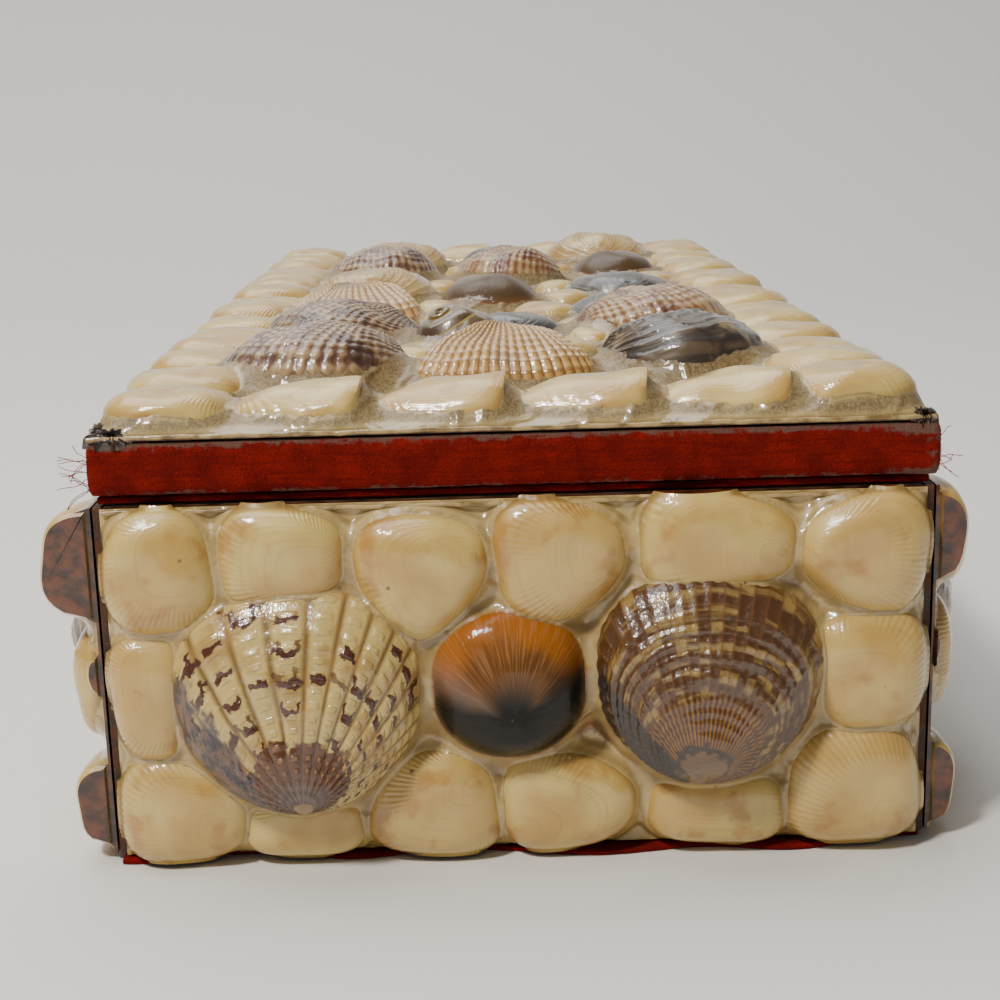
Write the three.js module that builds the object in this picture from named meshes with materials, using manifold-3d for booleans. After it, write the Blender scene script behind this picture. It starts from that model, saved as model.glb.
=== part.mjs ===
// A shell-craft trinket box: a card tray lined with red velvet, a lift-off lid edged with
// velvet ribbon, and five panels of sea shells glued to brown card under clear film.
//
// Units are millimetres and +Z is up. The origin is the centre of the underside, with +X to
// the right of the box and -Y towards its front. A panel is built flat, facing its own +Z,
// with x along it and y up it, and is then stood against its side of the box.
import * as THREE from 'three';
import { mergeVertices } from 'three/addons/utils/BufferGeometryUtils.js';
import Module from 'manifold-3d';

const wasm = await Module();
wasm.setup();

// ---- Driving dimensions -------------------------------------------------------------------
const WIDTH = 102; // across the side cards
const LENGTH = 210; // along the side cards
const BODY_TOP = 46; // top edge of the tray and of its side panels
const GAP = 0.3; // clearance between pieces that rest on each other

const CLOTH = 0.7; // velvet, pile included
const CARD = 1; // brown card behind each shell panel
const TRAY_WALL = 2.5; // grey board of the tray
const FILM = 0.6; // glue and clear film between the shells
const LID_BOARD = 5.1;
const LID_FIT = 0.5; // play of the lid's lining inside the tray
const RIBBON = 0.8; // thickness of the ribbon round the lid
const LID_LIP = 2; // depth of the padded card under the lid
const RIM_CLOTH = 0.9; // velvet turned over the tray's rim
const RIBBON_TURN = 0.2; // how far the ribbon stands above the lid board
const TOP_CARD = 0.7;

// ---- Fineness of the faceted shells -------------------------------------------------------
// Sides round the rim, and the rings from rim to crest as fractions of the rim's size.
const FRONT_CREAM_SIDES = 8;
const CREAM_SIDES = 6;
const CREAM_RINGS = [1, 0.68];
const LARGE_SIDES = 12;
const LARGE_RINGS = [1, 0.84, 0.5];
const RIBBED_RINGS = [1, 0.88, 0.66, 0.34];
const RIB_DEPTH = 0.03; // of the shell's size

// ---- Colours ------------------------------------------------------------------------------
const finishes = {
  cream: new THREE.MeshStandardMaterial({ color: '#cfc193', roughness: 0.25 }),
  velvet: new THREE.MeshStandardMaterial({ color: '#7c0d10', roughness: 0.95 }),
  greyBoard: new THREE.MeshStandardMaterial({ color: '#8d8479', roughness: 0.9 }),
  brownCard: new THREE.MeshStandardMaterial({ color: '#3a2010', roughness: 0.8 }),
  spotted: new THREE.MeshStandardMaterial({ color: '#a98a62', roughness: 0.3 }),
  checked: new THREE.MeshStandardMaterial({ color: '#80583a', roughness: 0.3 }),
  limpet: new THREE.MeshStandardMaterial({ color: '#6f4a26', roughness: 0.3 }),
  cockle: new THREE.MeshStandardMaterial({ color: '#cdae77', roughness: 0.35 }),
  snail: new THREE.MeshStandardMaterial({ color: '#8f7b5c', roughness: 0.3 }),
  slate: new THREE.MeshStandardMaterial({ color: '#5c5a55', roughness: 0.4 }),
};

// ---- Solids -------------------------------------------------------------------------------
function solidOf(geometry) {
  const bare = geometry.clone();
  bare.deleteAttribute('normal');
  bare.deleteAttribute('uv');
  const welded = mergeVertices(bare, 1e-5);
  return new wasm.Manifold(new wasm.Mesh({
    numProp: 3,
    vertProperties: new Float32Array(welded.attributes.position.array),
    triVerts: new Uint32Array(welded.index.array),
  }));
}

function geometryOf(solid) {
  const mesh = solid.getMesh();
  const geometry = new THREE.BufferGeometry();
  geometry.setAttribute('position', new THREE.BufferAttribute(mesh.vertProperties, 3));
  geometry.setIndex(new THREE.BufferAttribute(mesh.triVerts, 1));
  geometry.computeVertexNormals();
  return geometry;
}

// A board between two corners [x, y, z].
function board(low, high) {
  const size = high.map((value, axis) => value - low[axis]);
  const geometry = new THREE.BoxGeometry(...size);
  return geometry.translate(...high.map((value, axis) => (value + low[axis]) / 2));
}

// A board centred on the box's axis, given its half width and half length.
const layer = (x, y, bottom, top) => board([-x, -y, bottom], [x, y, top]);

// The same pseudo-random fraction for the same two numbers, so that each build is alike.
function chance(row, column) {
  const wave = Math.sin(row * 12.9898 + column * 78.233) * 43758.5453;
  return wave - Math.floor(wave);
}

const vary = (row, column, amount) => (2 * chance(row, column) - 1) * amount;

// ---- One sea shell ------------------------------------------------------------------------
// A shell is given by its middle (x, y), its width and height in the panel, its rise off the
// panel, and its turn in degrees. Its rim is a superellipse, squarer as `square` grows and
// narrower towards its beak as `taper` grows. The crest moves towards the beak by `lean`.
const plainShell = { turn: 0, square: 2.6, taper: 0.15, lean: 0.1, ribs: 0 };

function rimPoint(shell, angle, fraction, rib) {
  const across = Math.sign(Math.cos(angle)) * Math.abs(Math.cos(angle)) ** (2 / shell.square);
  const along = Math.sign(Math.sin(angle)) * Math.abs(Math.sin(angle)) ** (2 / shell.square);
  const grow = fraction * (1 + rib);
  const x = across * grow * (shell.width / 2) * (1 + shell.taper * along);
  const y = (along * grow - shell.lean * (1 - fraction)) * (shell.height / 2);
  return new THREE.Vector2(x, y).rotateAround(new THREE.Vector2(), shell.turn * Math.PI / 180);
}

function shellGeometry(options, sides, rings, sunk) {
  const shell = { ...plainShell, ...options };
  const points = [];
  const faces = [];
  // A shell that is sunk into the film keeps an upright wall below the film's surface.
  const levels = sunk > 0 ? [-sunk, ...rings.map(() => 0)] : rings.map(() => 0);
  const fractions = sunk > 0 ? [rings[0], ...rings] : rings;
  fractions.forEach((fraction, level) => {
    const rise = shell.rise * Math.sqrt(1 - fraction ** 2.3) + levels[level];
    for (let side = 0; side < sides; side += 1) {
      const rib = shell.ribs ? RIB_DEPTH * (side % 2 ? -1 : 1) : 0;
      const rim = rimPoint(shell, 2 * Math.PI * (side + 0.5) / sides, fraction, rib);
      points.push(shell.x + rim.x, shell.y + rim.y, rise * (1 + rib));
    }
  });
  const crest = rimPoint(shell, 0, 0, 0);
  points.push(shell.x + crest.x, shell.y + crest.y, shell.rise);
  points.push(shell.x + crest.x, shell.y + crest.y, -sunk);
  const crestIndex = fractions.length * sides;
  for (let side = 0; side < sides; side += 1) {
    const next = (side + 1) % sides;
    for (let ring = 0; ring + 1 < fractions.length; ring += 1) {
      const low = ring * sides;
      const high = low + sides;
      faces.push(low + side, low + next, high + next, low + side, high + next, high + side);
    }
    const last = (fractions.length - 1) * sides;
    faces.push(last + side, last + next, crestIndex, next, side, crestIndex + 1);
  }
  const geometry = new THREE.BufferGeometry();
  geometry.setAttribute('position', new THREE.Float32BufferAttribute(points, 3));
  geometry.setIndex(faces);
  geometry.computeVertexNormals();
  return geometry;
}

// ---- A panel of shells --------------------------------------------------------------------
// The cream shells and the sheet of glue and film that holds them are one piece. Each large
// shell is a piece of its own, standing in a place kept free for it.
function creamBed(low, high, creams, features, sides) {
  const sheet = solidOf(board([...low, 0], [...high, FILM]));
  const domes = creams.map((cream) => {
    const dome = shellGeometry(cream, sides, CREAM_RINGS, FILM);
    return solidOf(dome.translate(0, 0, FILM));
  });
  const places = features.map((feature) => {
    const spread = 1.06 + 0.8 / feature.width;
    const width = feature.width * spread;
    const height = feature.height * spread;
    const room = { ...feature, width, height, rise: 30, ribs: 0 };
    const column = shellGeometry(room, LARGE_SIDES, [1, 0.99], 0);
    return solidOf(column.translate(0, 0, FILM));
  });
  const highest = Math.max(...creams.map((cream) => cream.rise)) + 1;
  const field = solidOf(board([...low, 0], [...high, FILM + highest]));
  const shells = wasm.Manifold.union(domes).intersect(field);
  const cleared = places.length ? shells.subtract(wasm.Manifold.union(places)) : shells;
  return geometryOf(sheet.add(cleared));
}

function addMesh(group, name, geometry, finish) {
  const mesh = new THREE.Mesh(geometry, finish.clone());
  mesh.name = name;
  group.add(mesh);
}

function addPanel(group, name, low, high, creams, features, creamSides = CREAM_SIDES) {
  const bed = creamBed(low, high, creams, features, creamSides);
  addMesh(group, `${name}_cream_shells`, bed, finishes.cream);
  for (const feature of features) {
    const sides = feature.ribs ? 2 * feature.ribs : LARGE_SIDES;
    const rings = feature.ribs ? RIBBED_RINGS : LARGE_RINGS;
    const geometry = shellGeometry(feature, sides, rings, 0);
    geometry.translate(0, 0, FILM + GAP);
    addMesh(group, `${name}_${feature.name}`, geometry, finishes[feature.finish]);
  }
}

const box = new THREE.Group();

// ---- Tray and its velvet ------------------------------------------------------------------
const trayFloor = CLOTH + GAP;
const trayX = WIDTH / 2 - CARD - GAP;
const trayY = LENGTH / 2 - CARD - GAP;
const innerX = trayX - TRAY_WALL;
const innerY = trayY - TRAY_WALL;
const innerFloor = trayFloor + TRAY_WALL;

const baseInset = 0.4;
const baseCloth = layer(WIDTH / 2 - baseInset, LENGTH / 2 - baseInset, 0, CLOTH);
addMesh(box, 'base_cloth', baseCloth, finishes.velvet);

const trayBlock = solidOf(layer(trayX, trayY, trayFloor, BODY_TOP));
const trayRoom = solidOf(layer(innerX, innerY, innerFloor, BODY_TOP + 1));
addMesh(box, 'box_tray', geometryOf(trayBlock.subtract(trayRoom)), finishes.greyBoard);

const rimLow = BODY_TOP + GAP;
const rimTop = rimLow + RIM_CLOTH;
const liningX = innerX - GAP;
const liningY = innerY - GAP;
const liningBlock = solidOf(layer(liningX, liningY, innerFloor + GAP, rimTop));
const rimInset = 0.5;
const rimBlock = layer(WIDTH / 2 - rimInset, LENGTH / 2 - rimInset, rimLow, rimTop);
const liningRim = solidOf(rimBlock);
const liningFloor = innerFloor + GAP + CLOTH;
const liningRoom = solidOf(layer(liningX - CLOTH, liningY - CLOTH, liningFloor, rimTop + 1));
const lining = liningBlock.add(liningRim).subtract(liningRoom);
addMesh(box, 'tray_lining', geometryOf(lining), finishes.velvet);

// ---- Cards behind the side panels ---------------------------------------------------------
const cardX = WIDTH / 2;
const cardY = LENGTH / 2;
for (const [name, side] of [['left_card', -1], ['right_card', 1]]) {
  const edges = [side * cardX, side * (cardX - CARD)].sort((a, b) => a - b);
  const card = board([edges[0], -cardY, trayFloor], [edges[1], cardY, BODY_TOP]);
  addMesh(box, name, card, finishes.brownCard);
}
for (const [name, side] of [['front_card', -1], ['back_card', 1]]) {
  const edges = [side * cardY, side * (cardY - CARD)].sort((a, b) => a - b);
  const reach = cardX - CARD - GAP;
  const card = board([-reach, edges[0], trayFloor], [reach, edges[1], BODY_TOP]);
  addMesh(box, name, card, finishes.brownCard);
}

// ---- Lid ----------------------------------------------------------------------------------
const lidBottom = rimTop + GAP;
const lidTop = lidBottom + LID_BOARD;
const ribbonX = cardX + GAP;
const ribbonY = cardY + GAP;
const lidX = ribbonX - RIBBON - GAP;
const lidY = ribbonY - RIBBON - GAP;
addMesh(box, 'lid_board', layer(lidX, lidY, lidBottom, lidTop), finishes.greyBoard);

const ribbonBlock = solidOf(layer(ribbonX, ribbonY, lidBottom, lidTop + RIBBON_TURN));
const ribbonRoom = solidOf(layer(lidX + GAP, lidY + GAP, lidBottom - 1, lidTop + 1));
addMesh(box, 'lid_ribbon', geometryOf(ribbonBlock.subtract(ribbonRoom)), finishes.velvet);

const lipX = liningX - CLOTH - LID_FIT;
const lipY = liningY - CLOTH - LID_FIT;
const lipTop = lidBottom - GAP;
addMesh(box, 'lid_lining', layer(lipX, lipY, lipTop - LID_LIP, lipTop), finishes.velvet);

const topCardLow = lidTop + RIBBON_TURN + GAP;
const topCardTop = topCardLow + TOP_CARD;
const topInset = 0.2;
const topCard = layer(cardX - topInset, cardY - topInset, topCardLow, topCardTop);
addMesh(box, 'top_card', topCard, finishes.brownCard);

// ---- Kinds of large shell -----------------------------------------------------------------
const kinds = {
  spotted_venus: { width: 29, height: 28, rise: 9, square: 2.15, taper: 0.16, lean: 0.34,
    ribs: 0, finish: 'spotted' },
  checked_venus: { width: 27.4, height: 27, rise: 9, square: 2.15, taper: 0.12, lean: 0.34,
    ribs: 0, finish: 'checked' },
  limpet: { width: 18.8, height: 19, rise: 6.6, square: 2.1, taper: 0.02, lean: 0.3,
    ribs: 0, finish: 'limpet' },
  cockle: { width: 29, height: 22, rise: 8, square: 2.1, taper: 0.3, lean: 0.4,
    ribs: 12, finish: 'cockle' },
  moon_snail: { width: 15, height: 14.5, rise: 8.6, square: 2, taper: 0, lean: 0,
    ribs: 0, finish: 'snail' },
  slate_clam: { width: 20, height: 15, rise: 5, square: 2.2, taper: 0.1, lean: 0.2,
    ribs: 0, finish: 'slate' },
  cream_clam: { width: 24, height: 18, rise: 7.5, square: 2.2, taper: 0.1, lean: 0.2,
    ribs: 0, finish: 'cream' },
};
const large = (kind, name, x, y, turn = 0, more = {}) => (
  { ...plainShell, ...kinds[kind], name, x, y, turn, ...more });

// A cream shell: middle, size, turn, rise.
const cream = (x, y, width, height, turn = 0, rise = 4, more = {}) => (
  { x, y, width, height, turn, rise, ...more });

// ---- Front and back panels ----------------------------------------------------------------
const panelLow = trayFloor;
const panelMiddle = 22.5;
const upperRow = 38.6;
const lowerRow = 7.6;

const frontCreams = [
  cream(-43.6, 38.2, 13.2, 14.4, 4), cream(-28.6, 39.4, 14.6, 11.6, 0),
  cream(-11.3, 37.2, 15.8, 15.4, 24, 4.4), cream(5.4, 38, 15.6, 14.8, -6),
  cream(24.6, 39.8, 18.4, 13, 6), cream(42.2, 38.6, 15.2, 15, 10, 4.4),
  cream(-45.6, 22.4, 8.8, 15.4, 0), cream(43.4, 23.6, 13, 15.4, 4, 4.4),
  cream(-42.2, 7.8, 15.8, 13.6, 0), cream(-27.4, 5.4, 14.4, 8.4, 0, 3.4),
  cream(-10.8, 7.6, 15.6, 13.4, -6), cream(6.3, 7.4, 16.6, 12.4, 4),
  cream(24.8, 5.8, 17, 9, -3, 3.4), cream(41.4, 9, 16.6, 15.4, 0, 4.6),
];
const frontLarge = [
  large('spotted_venus', 'spotted_venus', -27, 21.9, 4, { width: 29.6, height: 29, ribs: 12 }),
  large('limpet', 'limpet', -1.2, 23.2),
  large('checked_venus', 'checked_venus', 22.8, 23.2, -6),
];

const backCreams = [];
const BACK_PITCH = 14.3;
for (let column = 0; column < 7; column += 1) {
  const x = (column - 3) * BACK_PITCH;
  const turn = vary(1, column, 12);
  backCreams.push(cream(x, upperRow, 14.3, 14 + vary(2, column, 1), turn, 4.1));
  backCreams.push(cream(x, lowerRow, 14.3, 13 + vary(3, column, 1), -turn, 3.9));
}
backCreams.push(cream(-45.4, panelMiddle, 9, 15), cream(45.4, panelMiddle, 9, 15));
const backLarge = [
  large('checked_venus', 'checked_venus', -25.5, panelMiddle, 5),
  large('limpet', 'limpet', 0, panelMiddle, 0),
  large('spotted_venus', 'spotted_venus', 25.8, panelMiddle, -4),
];

// ---- Long side panels ---------------------------------------------------------------------
// Two rows of cream shells with large shells between them. The shells at the front corners
// are cut off at the panel's end, and are given apart.
const SIDE_COUNT = 14;
const SIDE_PITCH = LENGTH / SIDE_COUNT;
const LARGE_PITCH = 25.2;

function sideCreams(seed, frontEnd) {
  const creams = [...frontEnd];
  const frontSign = Math.sign(frontEnd[0].x);
  for (let column = 0; column < SIDE_COUNT; column += 1) {
    const along = (column + 0.5) * SIDE_PITCH - cardY;
    const turn = vary(seed, column, 14);
    const atFrontEnd = along * frontSign > cardY - SIDE_PITCH;
    if (!atFrontEnd) {
      creams.push(cream(along, upperRow, 14.9, 14.2 + vary(seed + 1, column, 1), turn, 4.2));
      creams.push(cream(along, lowerRow, 14.9, 13.4 + vary(seed + 2, column, 1), -turn, 4));
    }
  }
  creams.push(cream(-frontSign * (cardY - 6), panelMiddle, 11, 15.4));
  return creams;
}

function sideLarge(seed) {
  const order = ['spotted_venus', 'limpet', 'checked_venus', 'limpet',
    'spotted_venus', 'limpet', 'checked_venus'];
  const first = -LARGE_PITCH * (order.length - 1) / 2;
  return order.map((kind, index) => {
    const along = first + LARGE_PITCH * index;
    return large(kind, `${kind}_${index + 1}`, along, panelMiddle, vary(seed, index, 9));
  });
}

// On the left panel the front corner is at its right-hand end, on the right panel at its left.
const leftEnd = [
  cream(cardY - 3.4, 38.6, 14, 14.6, 0, 6.2), cream(cardY - 5.4, 22.8, 11, 15.6, 0, 3.8),
  cream(cardY - 3.2, 7.4, 12, 11.6, 0, 4.3),
];
const rightEnd = [
  cream(4.6 - cardY, 39.2, 13.4, 13.4, 0, 3.9), cream(5.4 - cardY, 23.6, 11, 15.4, 0, 2.8),
  cream(3.4 - cardY, 7.2, 12, 12, 0, 3.2),
];

// ---- Top panel ----------------------------------------------------------------------------
const WEDGE_PITCH = 17.5;
const OVAL_PITCH = 14.05;
const topCreams = [];
// Wedge shells lie end to end along the front and back edges, blunt end to the right.
const wedge = { taper: 0.42, square: 3, lean: -0.4 };
for (const [row, y] of [[0, -97.6], [1, 97.8]]) {
  for (let column = 0; column < 4; column += 1) {
    const x = (column - 1.52) * WEDGE_PITCH;
    topCreams.push(cream(x, y, 12.4, 17.4, -90 + vary(row, column, 5), 4.6, wedge));
  }
}
// Oval shells lie across the long edges, end to end.
for (const side of [-1, 1]) {
  for (let column = 0; column < 15; column += 1) {
    const y = (column - 7) * OVAL_PITCH;
    const turn = side * (8 + vary(side + 5, column, 6));
    const rise = 4.4 + vary(side, column, 0.5);
    topCreams.push(cream(side * 42.4, y, 17.4, 14.2, turn, rise));
  }
}
// Small shells fill in between the large ones: x, y, width, height.
const fillers = [
  [-13, -60.4, 9, 7], [8.4, -56, 11, 9], [13.4, -31.4, 10, 10], [-8, -22, 15, 11],
  [8, -10.6, 13, 10], [32, -19, 10, 9], [33.4, -53, 8, 9], [-33, -28, 9, 10],
  [-12, -40, 9, 8], [31, 8.6, 12, 9], [-31, 6.4, 11, 9], [-11.6, 31, 10, 10],
  [13, 9, 10, 9], [-33, 36, 9, 10], [31.6, 37.6, 10, 9], [-5, 61.4, 14, 10],
  [11.4, 62, 13, 10], [-33, 64.4, 8, 9], [33, 64.6, 9, 9], [11.6, 26, 9, 9],
  [-11, -3.6, 9, 9], [14, -45, 9, 8],
];
for (const [x, y, width, height] of fillers) {
  topCreams.push(cream(x, y, width, height, vary(x, y, 40), 3.6));
}

const topLarge = [
  large('spotted_venus', 'speckled_venus_front', -25.4, -74.6, 24, { width: 27, height: 24.4 }),
  large('cockle', 'cockle_fan', -0.4, -76, 180, { width: 24, height: 19.4 }),
  large('checked_venus', 'dark_venus', 24.2, -72.4, -10, { width: 24.4, height: 24 }),
  large('moon_snail', 'moon_snail', -6.6, -54.6, 0),
  large('spotted_venus', 'speckled_venus_middle', -25.4, -47, -12, { width: 25, height: 26 }),
  large('checked_venus', 'spotted_venus_middle', 24.6, -38.6, 10, { width: 26, height: 25 }),
  large('slate_clam', 'blue_grey_clam', 1.6, -36, 0, { width: 17, height: 13 }),
  large('cockle', 'cockle_middle', -23, -16.4, 160, { width: 25, height: 21, ribs: 0 }),
  large('slate_clam', 'grey_clam', 22, -10.4, 20, { width: 21, height: 17 }),
  large('limpet', 'limpet_middle', -1.6, 9, 0),
  large('cream_clam', 'cream_clam_middle', -23, 17.4, 10, { width: 25, height: 20 }),
  large('slate_clam', 'dark_clam', 23.4, 23.4, -15, { width: 22, height: 18 }),
  large('checked_venus', 'brown_venus', 3, 42, 8, { width: 23, height: 22 }),
  large('spotted_venus', 'speckled_venus_back', -22.4, 48.4, 20, { width: 24, height: 24 }),
  large('cream_clam', 'large_cream_clam_left', -21.4, 77.4, 12, { width: 25, height: 22 }),
  large('slate_clam', 'grey_clam_back', 1, 79.4, 0, { width: 17.6, height: 16, rise: 6 }),
  large('cream_clam', 'large_cream_clam_right', 22.8, 79.4, -8,
    { width: 25, height: 22, rise: 8.4 }),
  large('limpet', 'limpet_back', 25, 52, 0, { width: 18.4, height: 18.4 }),
];

// ---- Panels in place ----------------------------------------------------------------------
// Each panel stands on one side of the box: turned about Z, tipped up and moved outwards.
function standingPanel(turn, distance) {
  const side = new THREE.Group();
  side.rotation.z = THREE.MathUtils.degToRad(turn);
  const face = new THREE.Group();
  face.rotation.x = Math.PI / 2;
  face.position.y = -(distance + GAP);
  side.add(face);
  box.add(side);
  return face;
}

const shortReach = cardX - CARD;
addPanel(standingPanel(0, cardY), 'front', [-shortReach, panelLow], [shortReach, BODY_TOP],
  frontCreams, frontLarge, FRONT_CREAM_SIDES);
addPanel(standingPanel(180, cardY), 'back', [-shortReach, panelLow], [shortReach, BODY_TOP],
  backCreams, backLarge);
addPanel(standingPanel(-90, cardX), 'left', [-cardY, panelLow], [cardY, BODY_TOP],
  sideCreams(11, leftEnd), sideLarge(21));
addPanel(standingPanel(90, cardX), 'right', [-cardY, panelLow], [cardY, BODY_TOP],
  sideCreams(31, rightEnd), sideLarge(41));

const topPanel = new THREE.Group();
topPanel.position.z = topCardTop + GAP;
box.add(topPanel);
addPanel(topPanel, 'top', [-cardX, -cardY], [cardX, cardY], topCreams, topLarge);

export default box;
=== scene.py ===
import math

import bmesh
import bpy
import numpy as np
from mathutils import Matrix, Vector
from mathutils.bvhtree import BVHTree
from mathutils.noise import fractal


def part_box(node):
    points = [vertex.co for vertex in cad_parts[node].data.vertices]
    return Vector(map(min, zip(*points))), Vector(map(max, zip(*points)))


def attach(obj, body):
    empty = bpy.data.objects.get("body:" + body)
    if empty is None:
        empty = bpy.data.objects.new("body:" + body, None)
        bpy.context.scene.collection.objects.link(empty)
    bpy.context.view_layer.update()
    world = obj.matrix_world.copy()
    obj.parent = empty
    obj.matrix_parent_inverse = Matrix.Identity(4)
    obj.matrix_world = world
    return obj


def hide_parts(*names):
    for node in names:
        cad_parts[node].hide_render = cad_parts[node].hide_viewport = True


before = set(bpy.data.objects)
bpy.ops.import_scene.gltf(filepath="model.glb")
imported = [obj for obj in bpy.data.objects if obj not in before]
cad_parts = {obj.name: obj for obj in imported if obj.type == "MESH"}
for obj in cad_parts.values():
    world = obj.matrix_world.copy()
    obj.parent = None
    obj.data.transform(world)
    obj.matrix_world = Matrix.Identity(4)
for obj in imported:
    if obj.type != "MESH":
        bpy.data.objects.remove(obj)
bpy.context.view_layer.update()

# ---- Card tray and lid board ----------------------------------------------------------------
# The box itself: a tray folded from grey pasteboard, glued at its corners, and the flat board
# of the lid. Both are almost wholly covered by velvet and by the shell panels.
MM = 0.001


def linear(hex_colour):
    """An sRGB hex colour as linear RGBA."""
    channels = [int(hex_colour[i:i + 2], 16) / 255 for i in (1, 3, 5)]
    return [c / 12.92 if c <= 0.04045 else ((c + 0.055) / 1.055) ** 2.4 for c in channels] + [1]


def add_node(tree, kind, *values, **settings):
    """One node with its settings. Values go to its sockets in order, or by name from a dict,
    and a node given as a value is linked from its first output."""
    node = tree.nodes.new(kind if kind.startswith(("Geometry", "Function", "Node")) else
                          "ShaderNode" + kind)
    for name, value in settings.items():
        setattr(node, name, value)
    sockets = [socket for socket in node.inputs if socket.enabled]
    pairs = list(zip(sockets, values))
    if values and isinstance(values[0], dict):
        pairs = [(node.inputs[name], value) for name, value in values[0].items()]
    for socket, value in pairs:
        if isinstance(value, bpy.types.Node):
            value = next(output for output in value.outputs if output.enabled)
        if isinstance(value, bpy.types.NodeSocket):
            tree.links.new(value, socket)
        else:
            socket.default_value = value
    return node


def new_material(name):
    """An empty material and its tree."""
    material = bpy.data.materials.new(name)
    material.use_nodes = True
    material.node_tree.nodes.clear()
    return material, material.node_tree


def fade(tree, pattern, levels, low, high):
    """A colour that goes from low to high as a pattern passes between two levels. Two more
    levels say how much of the high colour shows at each end. Colours are hex or nodes."""
    colours = [linear(c) if isinstance(c, str) else c for c in (low, high)]
    amount = add_node(tree, "MapRange", pattern, *levels, interpolation_type="SMOOTHSTEP")
    return add_node(tree, "Mix", amount, *colours, data_type="RGBA")


def dress_card(material, *names):
    """Packed cards keep their shape and get a finish."""
    for name in names:
        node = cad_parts[name]
        node.data.materials.clear()
        node.data.materials.append(material)


# Pasteboard: rolled grey pulp, dull, with short fibres in it.
board_material, tree = new_material("grey_pasteboard")
place = add_node(tree, "TexCoord").outputs["Object"]
pulp = add_node(tree, "TexNoise", place, 1 / (1.2 * MM), 5)
board_colour = fade(tree, pulp, (0.35, 0.65), "#7d756a", "#a39a8c")
add_node(tree, "OutputMaterial",
    add_node(tree, "BsdfPrincipled",
        {"Base Color": board_colour, "Roughness": 0.88,
            "Normal": add_node(tree, "Bump",
                {"Height": add_node(tree, "TexNoise", place, 1 / (0.5 * MM), 4), "Distance": 0.06 * MM})}))

dress_card(board_material, "box_tray", "lid_board")

# ---- Brown cards ----------------------------------------------------------------------------
# Each shell panel is glued to brown card. Only the cards' cut edges show, dark with old glue,
# as upright lines at the front corners and as the dark line above the lid's ribbon.
card_material, tree = new_material("brown_card_stained_with_glue")
place = add_node(tree, "TexCoord").outputs["Object"]
stain = add_node(tree, "TexNoise", place, 1 / (3.0 * MM), 4)
layers = add_node(tree, "TexNoise", place, 1 / (0.35 * MM), 2)
card_colour = fade(tree, stain, (0.3, 0.7), "#241208", "#5a3418")
card_colour = fade(tree, layers, (0.55, 0.75, 0, 0.5), card_colour, "#7a5230")
add_node(tree, "OutputMaterial",
    add_node(tree, "BsdfPrincipled",
        {"Base Color": card_colour,
            "Roughness": add_node(tree, "MapRange", stain, 0.3, 0.7, 0.35, 0.8,
                interpolation_type="SMOOTHSTEP"),
            "Normal": add_node(tree, "Bump", {"Height": layers, "Distance": 0.12 * MM})}))

dress_card(card_material, "front_card", "back_card", "left_card", "right_card", "top_card")

# ---- Front panel: the cream shells ----------------------------------------------------------
# Half shells of small cream clams, glued hollow side down on the card and wrapped, with the
# larger shells, in one sheet of clear film shrunk tight over them. Fine ribs run from each
# shell's beak to its rim, worn smooth on the crown.
FILM = 0.6  # glue and film between the shells, in millimetres


def chance(row, column):
    """The same fraction for the same two numbers."""
    wave = math.sin(row * 12.9898 + column * 78.233) * 43758.5453
    return wave - math.floor(wave)


def vary(row, column, amount):
    return (2 * chance(row, column) - 1) * amount


def shell(x, y, width, height, turn=0.0, rise=4.0, beak=-90.0, **more):
    """One shell: middle, size and rise in millimetres, its turn, and the way its beak points.
    Reach places the beak on the way from the middle to the rim."""
    facts = {"x": x, "y": y, "width": width, "height": height, "turn": turn, "rise": rise,
             "beak": beak, "square": 2.6, "taper": 0.15, "lean": 0.1, "pinch": 0.0,
             "foot": FILM, "plump": 3.6, "relief": None, "reach": 0.8, "ribs": 104,
             "crowded": 0.0, "limits": None, "tone": chance(x, y), "columns": 48, "rows": 11}
    facts.update(more)
    return facts


def rim_points(facts, angles):
    """Points of the rim in the shell's own plane, before its turn."""
    power = 2 / facts["square"]
    across = np.sign(np.cos(angles)) * np.abs(np.cos(angles)) ** power
    along = np.sign(np.sin(angles)) * np.abs(np.sin(angles)) ** power
    x = across * facts["width"] / 2 * (1 + facts["taper"] * along)
    pinch = facts["pinch"] * np.clip(-along - 0.2, 0, 1) ** 2
    return np.stack([x * (1 - pinch), along * facts["height"] / 2], axis=-1)


def crown(facts, points):
    """How far in from the rim each point lies, 1 at the rim and 0 at the crest."""
    x = points[:, 0] / (facts["width"] / 2)
    y = points[:, 1] / (facts["height"] / 2)
    low = np.full(len(x), 1e-3)
    high = np.ones(len(x))
    for _ in range(22):
        f = (low + high) / 2
        along = np.clip((y + facts["lean"] * (1 - f)) / f, -3, 3)
        pinch = facts["pinch"] * np.clip(-along - 0.2, 0, 1) ** 2
        spread = np.maximum((1 + facts["taper"] * np.clip(along, -1, 1)) * (1 - pinch), 0.2)
        reach = np.abs(x / (f * spread)) ** facts["square"] + np.abs(along) ** facts["square"]
        outside = reach > 1
        low = np.where(outside, f, low)
        high = np.where(outside, high, f)
    return (low + high) / 2


def dome(facts, inward):
    return facts["rise"] * np.sqrt(np.maximum(1 - inward ** facts["plump"], 0))


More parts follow.
